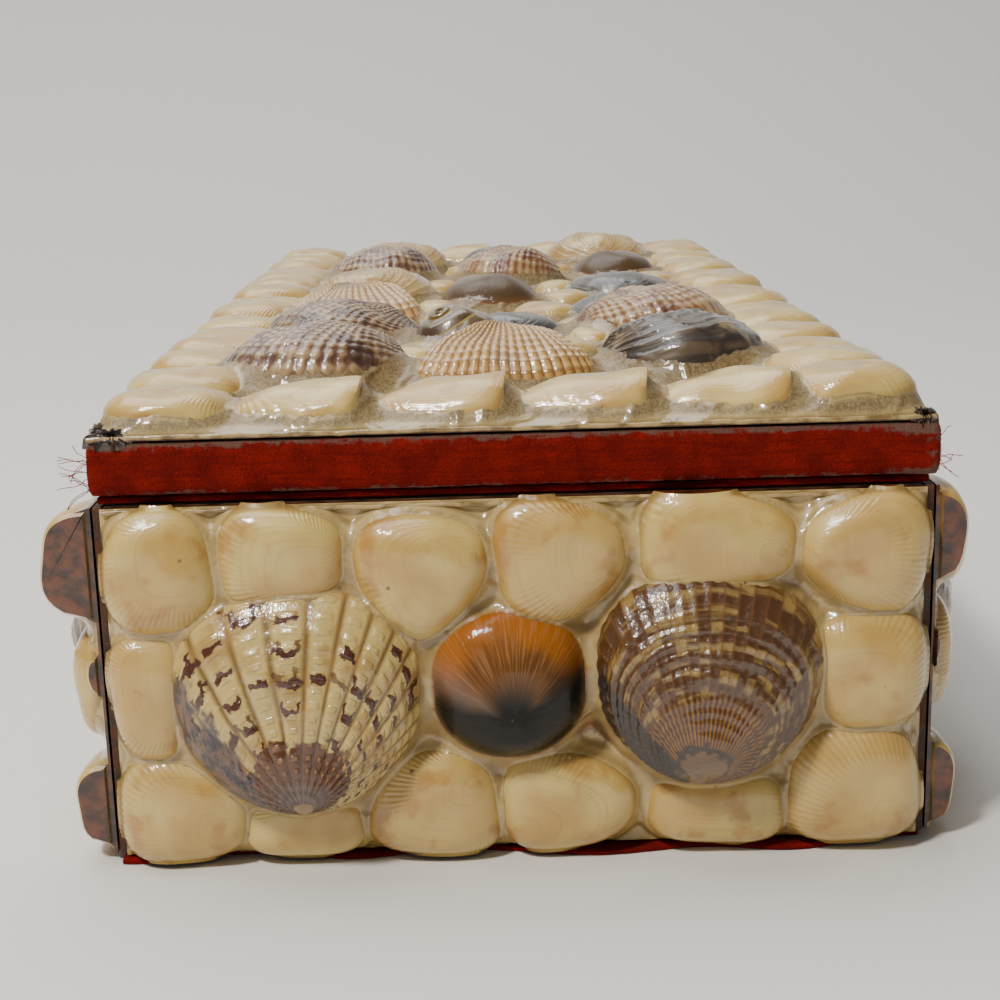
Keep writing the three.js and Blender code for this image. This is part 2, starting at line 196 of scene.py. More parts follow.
def shell_points(facts, with_relief=True):
    """Vertices of one shell, row by row from its beak to its rim, in its panel's millimetres.
    Also the angle of each column about the beak, and each row's part of the way to the rim."""
    turn = math.radians(facts["turn"])
    beak = math.radians(facts["beak"]) - turn
    rim = rim_points(facts, np.linspace(0, 2 * math.pi, 721))
    way = np.array([math.cos(beak), math.sin(beak)])
    tip = rim[np.argmax(rim @ way)] * facts["reach"]
    away = math.atan2(-way[1], -way[0])
    angles = np.arctan2(rim[:, 1] - tip[1], rim[:, 0] - tip[0]) - away
    angles = (angles + math.pi) % (2 * math.pi) - math.pi
    order = np.argsort(angles[:-1])
    rim, angles = rim[order], angles[order]
    length = np.concatenate([[0], np.cumsum(np.linalg.norm(np.diff(rim, axis=0), axis=1))])
    even = np.linspace(0, length[-1], facts["columns"], endpoint=False)
    rim = np.stack([np.interp(even, length, rim[:, i]) for i in (0, 1)], axis=-1)
    angles = np.interp(even, length, angles)
    rows = np.linspace(0, 1, facts["rows"] + 1)[1:] ** 0.85
    flat = tip + rows[:, None, None] * (rim - tip)
    inward = crown(facts, flat.reshape(-1, 2)).reshape(flat.shape[:2])
    inward[-1] = 1.0
    dents = 0.05 * np.sin(0.55 * flat[..., 0] + 20 * facts["tone"]) * np.sin(
        0.6 * flat[..., 1] + 33 * facts["tone"])
    points = np.concatenate([flat, (dome(facts, inward) * (1 + dents))[..., None]], axis=-1)
    top = np.array([*tip, points[0, :, 2].mean()])
    if with_relief and facts["relief"]:
        side = np.roll(points, -1, axis=1) - np.roll(points, 1, axis=1)
        down = np.gradient(points, axis=0)
        normal = np.cross(down, side)
        normal /= np.linalg.norm(normal, axis=-1, keepdims=True) + 1e-9
        normal *= np.sign(normal[..., 2:3] + 1e-6)
        count = rib_number(facts, angles)
        points = points + normal * facts["relief"](rows[:, None], count[None, :])[..., None]
    points = np.concatenate([top[None], points.reshape(-1, 3)])
    points[:, 2] = np.maximum(points[:, 2], 0) + facts["foot"]
    cosine, sine = math.cos(turn), math.sin(turn)
    x = points[:, 0] * cosine - points[:, 1] * sine + facts["x"]
    y = points[:, 0] * sine + points[:, 1] * cosine + facts["y"]
    if facts["limits"] is not None:
        low, high = facts["limits"]
        x = np.clip(x, low[0] + 0.3, high[0] - 0.3)
        y = np.clip(y, low[1] + 1.2, high[1] - 1.2)
    return np.stack([x, y, points[:, 2]], axis=-1), angles, rows


def rib_number(facts, angles):
    """Ribs counted from the middle of the shell, closer together on the crowded flank."""
    bent = angles - facts["crowded"] * np.maximum(-angles - 0.1, 0) ** 1.5
    return bent * facts["ribs"] / (2 * math.pi)


def shell_faces(columns, rows):
    """Faces of one shell: a fan at the beak, bands to the rim, and a flat underside."""
    faces = [(0, 1 + (c + 1) % columns, 1 + c) for c in range(columns)]
    for r in range(rows - 1):
        a = 1 + r * columns
        b = a + columns
        faces += [(a + c, a + (c + 1) % columns, b + (c + 1) % columns, b + c)
                  for c in range(columns)]
    last = 1 + (rows - 1) * columns
    faces.append(tuple(last + c for c in range(columns)))
    return faces


def shell_uvs(facts, angles, rows):
    """For each face corner: its rib number, and its part of the way from beak to rim."""
    columns = len(angles)
    turn = rib_number(facts, np.append(angles, angles[0] + 2 * math.pi))
    rows = np.concatenate([[0], rows])
    uvs = []
    for c in range(columns):
        uvs += [((turn[c] + turn[c + 1]) / 2, 0), (turn[c + 1], rows[1]), (turn[c], rows[1])]
    for r in range(1, len(rows) - 1):
        for c in range(columns):
            uvs += [(turn[c], rows[r]), (turn[c + 1], rows[r]),
                    (turn[c + 1], rows[r + 1]), (turn[c], rows[r + 1])]
    uvs += [(turn[c], 1) for c in range(columns)]
    return uvs


def panel_place(node, side):
    """The matrix from a panel's own millimetres to the frame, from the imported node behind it."""
    low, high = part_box(node)
    turns = {"front": 0, "right": 90, "back": 180, "left": -90}
    if side == "top":
        return Matrix.Translation((0, 0, low[2])) @ Matrix.Scale(MM, 4)
    outward = {"front": (0, high[1]), "back": (0, low[1]), "left": (high[0], 0),
               "right": (low[0], 0)}[side]
    stand = Matrix.Rotation(math.radians(turns[side]), 4, "Z") @ Matrix.Rotation(math.pi / 2, 4, "X")
    return Matrix.Translation((*outward, 0)) @ stand @ Matrix.Scale(MM, 4)


def panel_limits(node, place):
    """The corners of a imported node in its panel's own millimetres."""
    back = place.inverted()
    corners = np.array([back @ Vector(corner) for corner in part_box(node)])
    return corners.min(axis=0), corners.max(axis=0)


def finish_piece(piece, slot, *nodes):
    """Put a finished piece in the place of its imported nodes."""
    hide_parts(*nodes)
    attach(piece, "root")


def shells_object(name, shells, place, materials, limits=None):
    """One object of one or more shells. What passes the panel's edge is cut off square, and
    the open end shows brown glue and painted shadow inside the shell's own thin wall."""
    points, faces, uvs, tones = [], [], [], []
    for facts in shells:
        vertices, angles, rows = shell_points(facts)
        base = len(points)
        points += vertices.tolist()
        faces += [tuple(base + i for i in face) for face in shell_faces(len(angles), len(rows))]
        uvs += shell_uvs(facts, angles, rows)
        tones += [facts["tone"]] * len(vertices)
    mesh = bpy.data.meshes.new(name)
    mesh.from_pydata(points, [], faces)
    layer = mesh.uv_layers.new(name="growth")
    layer.data.foreach_set("uv", np.array(uvs, np.float32).ravel())
    tone = mesh.attributes.new("tone", "FLOAT", "POINT")
    tone.data.foreach_set("value", np.array(tones, np.float32))
    for material in materials:
        mesh.materials.append(material)
    solid = bmesh.new()
    solid.from_mesh(mesh)
    if limits is not None:
        low, high = limits
        cuts = [((low[0], 0, 0), (-1, 0, 0)), ((high[0], 0, 0), (1, 0, 0)),
                ((0, low[1], 0), (0, -1, 0)), ((0, high[1], 0), (0, 1, 0))]
        for point, normal in cuts:
            found = bmesh.ops.bisect_plane(
                solid, geom=solid.verts[:] + solid.edges[:] + solid.faces[:], dist=1e-4,
                plane_co=point, plane_no=normal, clear_outer=True)
            edges = [e for e in found["geom_cut"] if isinstance(e, bmesh.types.BMEdge)]
            ends = bmesh.ops.holes_fill(solid, edges=edges, sides=0)["faces"]
            if ends:
                for face in ends:
                    face.material_index = 1
                walls = bmesh.ops.inset_region(solid, faces=ends, thickness=0.35, depth=-0.5)
                for face in walls["faces"]:
                    face.material_index = 0
    bmesh.ops.recalc_face_normals(solid, faces=solid.faces)
    for face in solid.faces:
        face.smooth = True
    solid.to_mesh(mesh)
    solid.free()
    mesh.transform(place)
    mesh.set_sharp_from_angle(angle=math.radians(50))
    piece = bpy.data.objects.new(name, mesh)
    bpy.context.scene.collection.objects.link(piece)
    return piece


def growth_of(tree):
    """The two growth coordinates: rib number, and the part of the way out to the rim."""
    uv = add_node(tree, "UVMap", uv_map="growth").outputs[0]
    split = add_node(tree, "SeparateXYZ", {0: uv})
    return split.outputs[0], split.outputs[1]


def under_film(tree, colour, relief, depth_mm, rough=0.4, gloss=0.06, more=None):
    """Finish a shell that lies under the film: its own relief, then the film's gloss."""
    place = add_node(tree, "TexCoord").outputs["Object"]
    skin = add_node(tree, "Bump", {"Height": relief, "Distance": depth_mm * MM})
    film = add_node(tree, "Bump",
        {"Height": add_node(tree, "TexNoise", place, 1 / (0.9 * MM), 3), "Distance": 0.08 * MM,
            "Normal": skin})
    inputs = {"Base Color": colour, "Roughness": rough, "Normal": skin, "Coat Weight": 1.0,
              "Coat Roughness": gloss, "Coat IOR": 1.5, "Coat Normal": film}
    inputs.update(more or {})
    add_node(tree, "OutputMaterial", add_node(tree, "BsdfPrincipled", inputs))


def streaks(tree, about, out, across, along, seed=0.0, detail=2.0):
    """Noise drawn out with the shell's growth: across per rib, along from beak to rim."""
    vector = add_node(tree, "CombineXYZ",
        {0: add_node(tree, "Math", about, across, operation="MULTIPLY"),
            1: add_node(tree, "Math", out, along, operation="MULTIPLY"), 2: seed}).outputs[0]
    inputs = {"Vector": vector, "Scale": 1.0, "Detail": detail}
    return add_node(tree, "TexNoise", inputs).outputs["Fac"]


def cream_shell_material(name, light, dark, stain):
    """Worn cream shell under clear film: warm chalky body, faint growth bands, tan stains,
    fine ribs near the rim, and the film's sharp gloss over it all."""
    material, tree = new_material(name)
    place = add_node(tree, "TexCoord").outputs["Object"]
    about, out = growth_of(tree)
    tone = add_node(tree, "Attribute", attribute_name="tone").outputs["Fac"]
    broad = add_node(tree, "TexNoise", place, 1 / (7.0 * MM), 2)
    body = fade(tree, broad, (0.3, 0.7), light, dark)
    body = fade(tree, tone, (0.5, 1.0, 0, 0.5), body, "#c79f58")
    band = streaks(tree, about, out, 0.025, 26, add_node(tree, "Math", tone, 40, operation="MULTIPLY"))
    body = fade(tree, band, (0.5, 0.75, 0, 0.3), body, "#b08a48")
    blotch = add_node(tree, "MapRange", add_node(tree, "TexNoise", place, 1 / (5.0 * MM), 3), 0.54, 0.7,
        0, 0.65, interpolation_type="SMOOTHSTEP")
    body = add_node(tree, "Mix", blotch, body, linear(stain), data_type="RGBA")
    speck = add_node(tree, "TexVoronoi", {"Vector": place, "Scale": 1 / (9.0 * MM)})
    fleck = add_node(tree, "MapRange", speck.outputs["Distance"], 0.02, 0.045, 0.85, 0,
        interpolation_type="SMOOTHSTEP")
    body = add_node(tree, "Mix", fleck, body, linear("#4a3018"), data_type="RGBA")
    # Ribs: clear near the rim of some shells and worn off others.
    wave = add_node(tree, "Math", add_node(tree, "Math", about, 2 * math.pi, operation="MULTIPLY"),
        operation="SINE")
    worn = add_node(tree, "Math",
        add_node(tree, "MapRange", out, 0.5, 0.8, interpolation_type="SMOOTHSTEP"),
        add_node(tree, "MapRange", add_node(tree, "Math", about, operation="ABSOLUTE"), 17, 28, 1, 0,
            interpolation_type="SMOOTHSTEP"), operation="MULTIPLY")
    rib = add_node(tree, "Math", wave,
        add_node(tree, "Math", worn,
            add_node(tree, "MapRange", add_node(tree, "TexNoise", place, 1 / (9.0 * MM), 1), 0.45, 0.58,
                interpolation_type="SMOOTHSTEP"), operation="MULTIPLY"), operation="MULTIPLY")
    # The colour darkens in the grooves between the ribs, where the relief is lowest: painted shade.
    body = fade(tree, rib, (0.0, 1.0, 0, 0.22), body, "#a07c3c")
    # Darker brown at the very rim: painted shade, with a little dirt, where the shell meets the film.
    body = fade(tree, out, (0.93, 0.99, 0, 0.7), body, "#7a5a2a")
    relief = add_node(tree, "Math", add_node(tree, "Math", rib, -0.22, operation="MULTIPLY"),
        add_node(tree, "Math", band, 0.6, operation="MULTIPLY"), operation="ADD")
    under_film(tree, body, relief, 0.09, 0.42, 0.06, {
        "Subsurface Weight": 0.12, "Subsurface Radius": (0.8 * MM, 0.55 * MM, 0.3 * MM),
        "Subsurface Scale": 1.0})
    return material


# Dark brown for the open ends of cut shells and the film's edges: real glue, with painted shadow standing
# in for the shade in the hollow of each cut shell.
glue_and_shadow_end, tree = new_material("brown_glue_and_painted_shadow_in_shell_end")
place = add_node(tree, "TexCoord").outputs["Object"]
glue_noise = add_node(tree, "TexNoise", place, 1 / (2.2 * MM), 4)
glue_and_shadow_colour = fade(tree, glue_noise, (0.35, 0.65), "#2c1408", "#6a3412")
add_node(tree, "OutputMaterial",
    add_node(tree, "BsdfPrincipled",
        {"Base Color": glue_and_shadow_colour, "Roughness": 0.35, "Coat Weight": 0.8, "Coat Roughness": 0.15,
            "Normal": add_node(tree, "Bump", {"Height": glue_noise, "Distance": 0.3 * MM})}))

cream_material = cream_shell_material("cream_clam_shell_under_film", "#d8bc6c", "#c49c4e",
                                      "#ac7428")

front_place = panel_place("front_cream_shells", "front")
front_limits = panel_limits("front_cream_shells", front_place)
front_creams = [
    shell(-43.2, 38.2, 14.2, 16, 4, 4, 40, taper=-0.1),
    shell(-28.4, 39.6, 13, 15.8, 90, 4, -10, taper=0.12, square=3),
    shell(-11.2, 37.6, 15.6, 17, 112, 4.4, 22, taper=0.34, square=2.3),
    shell(5.2, 38.6, 15.4, 16.6, 102, 4, 12, taper=0.3, square=2.5),
    shell(24.4, 40.0, 13, 20, 88, 4, -5, taper=0.22, square=2.8),
    shell(42.2, 38.6, 15, 16.6, -96, 4.4, 172, taper=0.3, square=2.4),
    shell(-45.2, 22.4, 10, 17, 0, 4, 0, square=3),
    shell(43.2, 23.6, 14.6, 16.2, 4, 4.4, 215, taper=0.08, square=3),
    shell(-42.0, 7.6, 14.4, 16.8, 88, 4, -20, taper=0.12, square=3),
    shell(-27.2, 5.4, 15.6, 9.4, 0, 3.4, 80, taper=-0.1, square=3),
    shell(-10.8, 7.6, 16.6, 14.4, -4, 4, 30, taper=-0.2, square=3),
    shell(6.0, 7.4, 13.6, 17.6, 86, 4, 200, taper=0.24, square=2.6),
    shell(24.6, 5.8, 18, 10, -3, 3.4, 90, taper=-0.05, square=3),
    shell(41.4, 8.8, 17.4, 16.4, 0, 4.6, -45, taper=-0.12, square=3),
]
for facts in front_creams:
    facts.update(columns=112, rows=20)
piece = shells_object("front_cream_clams", front_creams, front_place,
                      [cream_material, glue_and_shadow_end], front_limits)
finish_piece(piece, "cream_shell", "front_cream_shells")

# ---- Front panel: the large shells ----------------------------------------------------------
# Two venus clams with their beaks down and a limpet between them. One clam is cream with brown
# bars on broad ribs and a purple-brown flank, the other is checked brown and white in arcs that
# follow its growth. The limpet is orange-brown, with a worn dark crest.
def broad_ribs(depth, steps, step_depth):
    """Round ribs from the beak, swelling into low bosses and fading at the rim."""
    def relief(rows, count):
        fade = np.clip(rows / 0.3, 0, 1) * np.clip((1.1 - rows) / 0.3, 0, 1)
        rib = np.abs(np.cos(count * math.pi)) ** 0.7
        boss = np.sin(2 * math.pi * (rows * steps + 0.1 * np.sin(count * 2)))
        return (depth * (rib - 0.7) + step_depth * boss * rib) * fade
    return relief


def ringed(rings, depth, rib_depth):
    """Raised rings that follow the growth, cut by finer ribs."""
    def relief(rows, count):
        fade = np.clip((rows - 0.12) / 0.3, 0, 1)
        ring = np.sin(2 * math.pi * (rows * rings + 0.35 * np.sin(rows * 17)))
        return (depth * ring + rib_depth * np.cos(count * 2 * math.pi)) * fade
    return relief


def bars_and_hoops(tree, about, out, rows, place, low=0.45):
    """Bars and open hoops, one to a rib here and there, as a 0 to 1 mask."""
    shaken = add_node(tree, "TexNoise", {"Vector": place, "Scale": 1 / (1.5 * MM),
                                                  "Detail": 3.0})
    shake = add_node(tree, "Math",
        add_node(tree, "Math", shaken.outputs["Fac"], 0.5, operation="SUBTRACT"), 0.8,
        operation="MULTIPLY")
    u = add_node(tree, "Math", add_node(tree, "Math", about, 0.5, operation="ADD"), shake,
        operation="ADD")
    column = add_node(tree, "Math", u, operation="FLOOR")
    slide = add_node(tree, "TexWhiteNoise", {"W": column}, noise_dimensions="1D")
    v = add_node(tree, "Math", add_node(tree, "Math", out, rows, operation="MULTIPLY"),
        add_node(tree, "Math", slide.outputs["Value"], 0.35, operation="MULTIPLY"), operation="ADD")
    v = add_node(tree, "Math", v, shake, operation="ADD")
    cell = add_node(tree, "CombineXYZ", {0: column, 1: add_node(tree, "Math", v, operation="FLOOR")})
    luck = add_node(tree, "TexWhiteNoise", {"Vector": cell.outputs[0]})
    u, v = (add_node(tree, "Math", u, operation="FRACT"), add_node(tree, "Math", v, operation="FRACT"))
    aside = add_node(tree, "Math", add_node(tree, "Math", u, 0.5, operation="SUBTRACT"),
        operation="ABSOLUTE")
    bar = add_node(tree, "Math",
        add_node(tree, "MapRange", aside, 0.3, 0.4, 1, 0, interpolation_type="SMOOTHSTEP"),
        add_node(tree, "MapRange",
            add_node(tree, "Math", add_node(tree, "Math", v, 0.25, operation="SUBTRACT"),
                operation="ABSOLUTE"), 0.1, 0.16, 1, 0, interpolation_type="SMOOTHSTEP"),
        operation="MULTIPLY")
    arms = add_node(tree, "Math",
        add_node(tree, "MapRange",
            add_node(tree, "Math", add_node(tree, "Math", aside, 0.31, operation="SUBTRACT"),
                operation="ABSOLUTE"), 0.06, 0.12, 1, 0, interpolation_type="SMOOTHSTEP"),
        add_node(tree, "MapRange",
            add_node(tree, "Math", add_node(tree, "Math", v, 0.42, operation="SUBTRACT"),
                operation="ABSOLUTE"), 0.2, 0.3, 1, 0, interpolation_type="SMOOTHSTEP"),
        operation="MULTIPLY")
    arms = add_node(tree, "Math", arms,
        add_node(tree, "MapRange", luck.outputs["Value"], 0.7, 0.78, interpolation_type="SMOOTHSTEP"),
        operation="MULTIPLY")
    mark = add_node(tree, "Math", bar, arms, operation="MAXIMUM")
    return add_node(tree, "Math", mark,
        add_node(tree, "MapRange", luck.outputs["Value"], low, low + 0.1,
            interpolation_type="SMOOTHSTEP"), operation="MULTIPLY")


def spotted_venus_material(name, body, groove, brown, beak_brown, flank):
    """Venus clam: chalky cream ribs with brown bars, a brown zone round the beak."""
    material, tree = new_material(name)
    place = add_node(tree, "TexCoord").outputs["Object"]
    about, out = growth_of(tree)
    rib = add_node(tree, "Math",
        add_node(tree, "Math", add_node(tree, "Math", about, math.pi, operation="MULTIPLY"),
            operation="COSINE"), operation="ABSOLUTE")
    # The groove colour darkens the shell between its ribs: painted shade in the grooves.
    colour = fade(tree, rib, (0.0, 0.6), groove, body)
    colour = fade(tree, add_node(tree, "TexNoise", place, 1 / (5 * MM), 3), (0.48, 0.66, 0, 0.65),
        colour, "#a07636")
    marks = bars_and_hoops(tree, about, out, 8.0, place, 0.4)
    colour = add_node(tree, "Mix", marks, colour, linear(brown), data_type="RGBA")
    ragged = add_node(tree, "TexNoise", place, 1 / (1.8 * MM), 3)
    near_beak = add_node(tree, "Math", out,
        add_node(tree, "Math", add_node(tree, "Math", ragged, 0.5, operation="SUBTRACT"), 0.25,
            operation="MULTIPLY"), operation="ADD")
    beads = add_node(tree, "Math",
        add_node(tree, "MapRange", rib, 0.6, 0.95, interpolation_type="SMOOTHSTEP"),
        add_node(tree, "MapRange",
            add_node(tree, "Math", add_node(tree, "Math", out, 2 * math.pi * 17, operation="MULTIPLY"),
                operation="SINE"), -0.1, 0.6, interpolation_type="SMOOTHSTEP"), operation="MULTIPLY")
    beak_tone = add_node(tree, "Mix", add_node(tree, "Math", beads, 0.4, operation="MULTIPLY"),
        linear(beak_brown), linear("#a8743c"), data_type="RGBA")
    beak_tone = fade(tree, near_beak, (0.16, 0.24, 1, 0), beak_tone, "#5d463e")
    colour = fade(tree, near_beak, (0.36, 0.39, 1, 0), colour, beak_tone)
    side = add_node(tree, "Math", about,
        add_node(tree, "Math",
            add_node(tree, "Math", add_node(tree, "TexNoise", place, 1 / (4.0 * MM), 3), 0.5,
                operation="SUBTRACT"), 3.0, operation="MULTIPLY"), operation="ADD")
    patch = add_node(tree, "Math",
        add_node(tree, "MapRange", side, 3.0, 3.4, interpolation_type="SMOOTHSTEP"),
        add_node(tree, "MapRange", out, 0.28, 0.36, interpolation_type="SMOOTHSTEP"),
        operation="MULTIPLY")
    patch = add_node(tree, "Math", patch,
        add_node(tree, "MapRange", out, 0.9, 0.98, 1, 0, interpolation_type="SMOOTHSTEP"),
        operation="MULTIPLY")
    flank_tone = fade(tree, ragged, (0.42, 0.6), flank, "#6a4a38")
    colour = add_node(tree, "Mix", patch, colour, flank_tone, data_type="RGBA")
    relief = add_node(tree, "Math", add_node(tree, "TexNoise", place, 1 / (0.8 * MM), 3), beads,
        operation="ADD")
    under_film(tree, colour, relief, 0.13, 0.38, 0.07)
    return material


def checked_venus_material(name, pale, brown, dark):
    """Venus clam: brown and white checks in arcs, darker towards the beak."""
    material, tree = new_material(name)
    place = add_node(tree, "TexCoord").outputs["Object"]
    about, out = growth_of(tree)
    wander = add_node(tree, "Math",
        add_node(tree, "Math", add_node(tree, "TexNoise", place, 1 / (5.0 * MM), 2), 0.5,
            operation="SUBTRACT"), 0.06, operation="MULTIPLY")
    grown = add_node(tree, "Math", out, wander, operation="ADD")
    arcs = streaks(tree, about, grown, 0.12, 22)
    v = add_node(tree, "Math", grown, 15, operation="MULTIPLY")
    cell = add_node(tree, "CombineXYZ",
        {0: add_node(tree, "Math", about, operation="FLOOR"),
            1: add_node(tree, "Math", v, operation="FLOOR")})
    luck = add_node(tree, "TexWhiteNoise", {"Vector": cell.outputs[0]})
    check = add_node(tree, "Math",
        add_node(tree, "Math", luck.outputs["Value"], 0.35, operation="MULTIPLY"),
        add_node(tree, "Math", arcs, 1.2, operation="MULTIPLY"), operation="ADD")
    inside = add_node(tree, "Math",
        add_node(tree, "Math", add_node(tree, "Math", about, operation="FRACT"), 0.5,
            operation="SUBTRACT"), operation="ABSOLUTE")
    colour = fade(tree, check, (0.78, 1.02), brown, pale)
    colour = fade(tree, inside, (0.3, 0.5, 0, 0.6), colour, "#6b4420")
    fine = add_node(tree, "TexNoise", place, 1 / (0.8 * MM), 3)
    colour = fade(tree, fine, (0.5, 0.75, 0, 0.5), colour, "#5a380e")
    inner = add_node(tree, "Math", grown, add_node(tree, "Math", fine, 0.1, operation="MULTIPLY"),
        operation="ADD")
    rays = add_node(tree, "Math",
        add_node(tree, "Math", about, 2 * math.pi * 1.3, operation="MULTIPLY"), operation="SINE")
    ray_tone = fade(tree, rays, (-0.4, 0.8), "#4c2a0c", "#8a5a1e")
    colour = fade(tree, inner, (0.5, 0.56, 0.9, 0), colour, ray_tone)
    line = add_node(tree, "MapRange",
        add_node(tree, "Math", add_node(tree, "Math", inner, 0.27, operation="SUBTRACT"),
            operation="ABSOLUTE"), 0.01, 0.03, 1, 0, interpolation_type="SMOOTHSTEP")
    colour = fade(tree, inner, (0.22, 0.3, 0.85, 0), colour, "#6a4e34")
    colour = add_node(tree, "Mix", line, colour, linear("#33201a"), data_type="RGBA")
    flank = add_node(tree, "MapRange",
        add_node(tree, "Math", about, add_node(tree, "Math", wander, 60, operation="MULTIPLY"),
            operation="ADD"), 10.5, 11.5, interpolation_type="SMOOTHSTEP")
    colour = add_node(tree, "Mix", flank, colour, linear(dark), data_type="RGBA")
    relief = add_node(tree, "Math", add_node(tree, "Math", arcs, 0.8, operation="MULTIPLY"), fine,
        operation="ADD")
    under_film(tree, colour, relief, 0.15, 0.38, 0.06)
    return material


def limpet_material(name, rim, middle, crest):
    """Limpet: fine striae from the crest out to an orange rim above, dark and worn below."""
    material, tree = new_material(name)
    place = add_node(tree, "TexCoord").outputs["Object"]
    about, out = growth_of(tree)
    striae = streaks(tree, about, out, 2.0, 2.5, 0, 3)
    cloud = add_node(tree, "TexNoise", place, 1 / (6.0 * MM), 3)
    wander = add_node(tree, "Math", add_node(tree, "Math", cloud, 0.5, operation="SUBTRACT"), 0.5,
        operation="MULTIPLY")
    colour = fade(tree, add_node(tree, "Math", out, wander, operation="ADD"), (0.6, 0.85), middle, rim)
    colour = fade(tree, striae, (0.45, 0.75, 0, 0.5), colour, "#b58254")
    side = add_node(tree, "MapRange",
        add_node(tree, "Math", about, add_node(tree, "Math", wander, 12, operation="MULTIPLY"),
            operation="ADD"), 9, 18, 0, 0.7, interpolation_type="SMOOTHSTEP")
    colour = add_node(tree, "Mix", side, colour, linear("#8a7060"), data_type="RGBA")
    below = add_node(tree, "Math", add_node(tree, "Math", about, operation="ABSOLUTE"),
        add_node(tree, "Math", wander, 12, operation="MULTIPLY"), operation="ADD")
    dark = add_node(tree, "Math",
        add_node(tree, "Math",
            add_node(tree, "MapRange", below, 12, 22, interpolation_type="SMOOTHSTEP"),
            add_node(tree, "MapRange", out, 0.85, 1.0, 1, 0.55, interpolation_type="SMOOTHSTEP"),
            operation="MULTIPLY"),
        add_node(tree, "MapRange", out, 0.12, 0.5, 1, 0, interpolation_type="SMOOTHSTEP"),
        operation="MAXIMUM")
    colour = add_node(tree, "Mix", dark, colour, linear(crest), data_type="RGBA")
    under_film(tree, colour, striae, 0.06, 0.33, 0.05, {
        "Specular IOR Level": 0.1, "Coat Weight": 0.6})
    return material


def large_shell(node, place, width, height, turn=0.0, **more):
    """The facts of one large shell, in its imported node's place and rise."""
    low, high = panel_limits(node, place)
    middle = (low + high) / 2
    facts = shell(middle[0], middle[1], width, height, turn, high[2] - low[2], foot=low[2],
                  square=2.15, lean=0.34, plump=2.3, columns=96, rows=26)
    facts.update(more)
    return facts


VENUS = {"taper": 0.12, "pinch": 0.14, "reach": 0.9}
CHECKED = {"taper": 0.12, "pinch": 0.16, "reach": 0.9, "ribs": 84}
LIMPET = {"taper": 0.02, "lean": 0.2, "reach": 0.3}
# The second colour is the painted shade in the grooves between the ribs.
spotted_material = spotted_venus_material(
    "spotted_venus_clam_shell", "#ccb068", "#7a5c28", "#4a1e06", "#5a3008", "#33242a")
checked_material = checked_venus_material(
    "checked_venus_clam_shell", "#997b42", "#4e2e0a", "#28190c")
brown_limpet = limpet_material("brown_limpet_shell", "#9c5a18", "#66401c", "#0e0b04")

front_spotted = large_shell(
    "front_spotted_venus", front_place, 31.4, 29.6, 4, **dict(VENUS, beak=-88, columns=260),
    rows=80, ribs=31, crowded=0.7, relief=broad_ribs(0.3, 16, 0.07))
front_limpet = large_shell("front_limpet", front_place, 20.2, 19.6, **LIMPET, beak=-80,
                           columns=128, rows=36)
front_checked = large_shell(
    "front_checked_venus", front_place, 28.4, 27.4, -6, **dict(CHECKED, beak=-98, columns=260),
    rows=76, relief=ringed(13, 0.15, 0.05))
for name, facts, material, slot, node in (
        ("front_spotted_clam", front_spotted, spotted_material, "spotted_shell",
         "front_spotted_venus"),
        ("front_limpet_shell", front_limpet, brown_limpet, "limpet_shell", "front_limpet"),
        ("front_checked_clam", front_checked, checked_material, "checked_shell",
         "front_checked_venus")):
    finish_piece(shells_object(name, [facts], front_place, [material]), slot, node)

# ---- Front panel: the film ------------------------------------------------------------------
# Clear plastic film, shrunk by heat over the glued shells. It clings to their crowns, bridges
# the gaps in hollow webs with creases between them, and shows the beige glue beneath.
def film_height(shells, low, high, pitch, pull, passes):
    """The film over a panel: a net that is drawn in evenly and held up by the shells."""
    points, faces, owner = [], [], []
    for index, facts in enumerate(shells):
        vertices, angles, rows = shell_points(dict(facts, columns=56, rows=14), False)
        base = len(points)
        points += vertices.tolist()
        found = shell_faces(len(angles), len(rows))[:-1]
        faces += [tuple(base + i for i in face) for face in found]
        owner += [index] * len(found)
    tree = BVHTree.FromPolygons(points, faces)
    columns = int(round((high[0] - low[0]) / pitch)) + 1
    rows = int(round((high[1] - low[1]) / pitch)) + 1
    xs = np.linspace(low[0], high[0], columns)
    ys = np.linspace(low[1], high[1], rows)
    ground = np.full((rows, columns), FILM)
    nearest = np.full((rows, columns), -1)
    for r, y in enumerate(ys):
        for c, x in enumerate(xs):
            hit, _, index, _ = tree.ray_cast((x, y, 40), (0, 0, -1))
            if hit is not None:
                ground[r, c] = max(hit[2], FILM)
                nearest[r, c] = owner[index]
    height = ground.copy()
    for level in (8, 4, 2, 1):
        part = ground[::level, ::level]
        coarse = np.maximum(height[::level, ::level], part)
        drop = pull * (pitch * level) ** 2 / 4
        for _ in range(passes):
            padded = np.pad(coarse, 1, mode="edge")
            mean = (padded[:-2, 1:-1] + padded[2:, 1:-1] + padded[1:-1, :-2] + padded[1:-1, 2:]) / 4
            coarse = np.maximum(mean - drop, part)
            coarse[[0, -1]] = part[[0, -1]]
            coarse[:, [0, -1]] = part[:, [0, -1]]
        r = np.minimum(np.arange(rows) / level, coarse.shape[0] - 1)
        c = np.minimum(np.arange(columns) / level, coarse.shape[1] - 1)
        wide = np.array([np.interp(c, np.arange(coarse.shape[1]), line) for line in coarse])
        height = np.array([np.interp(r, np.arange(coarse.shape[0]), line) for line in wide.T]).T
    # Each free point of the film takes the tone of the shell nearest to it.
    for _ in range(int(6 / pitch)):
        for axis, way in ((0, 1), (0, -1), (1, 1), (1, -1)):
            moved = np.roll(nearest, way, axis=axis)
            nearest = np.where(nearest < 0, moved, nearest)
    gap = height - ground
    tuck = 0.25 * (1 - np.clip(gap / 0.2, 0, 1) ** 2)
    return xs, ys, height - tuck, gap, nearest


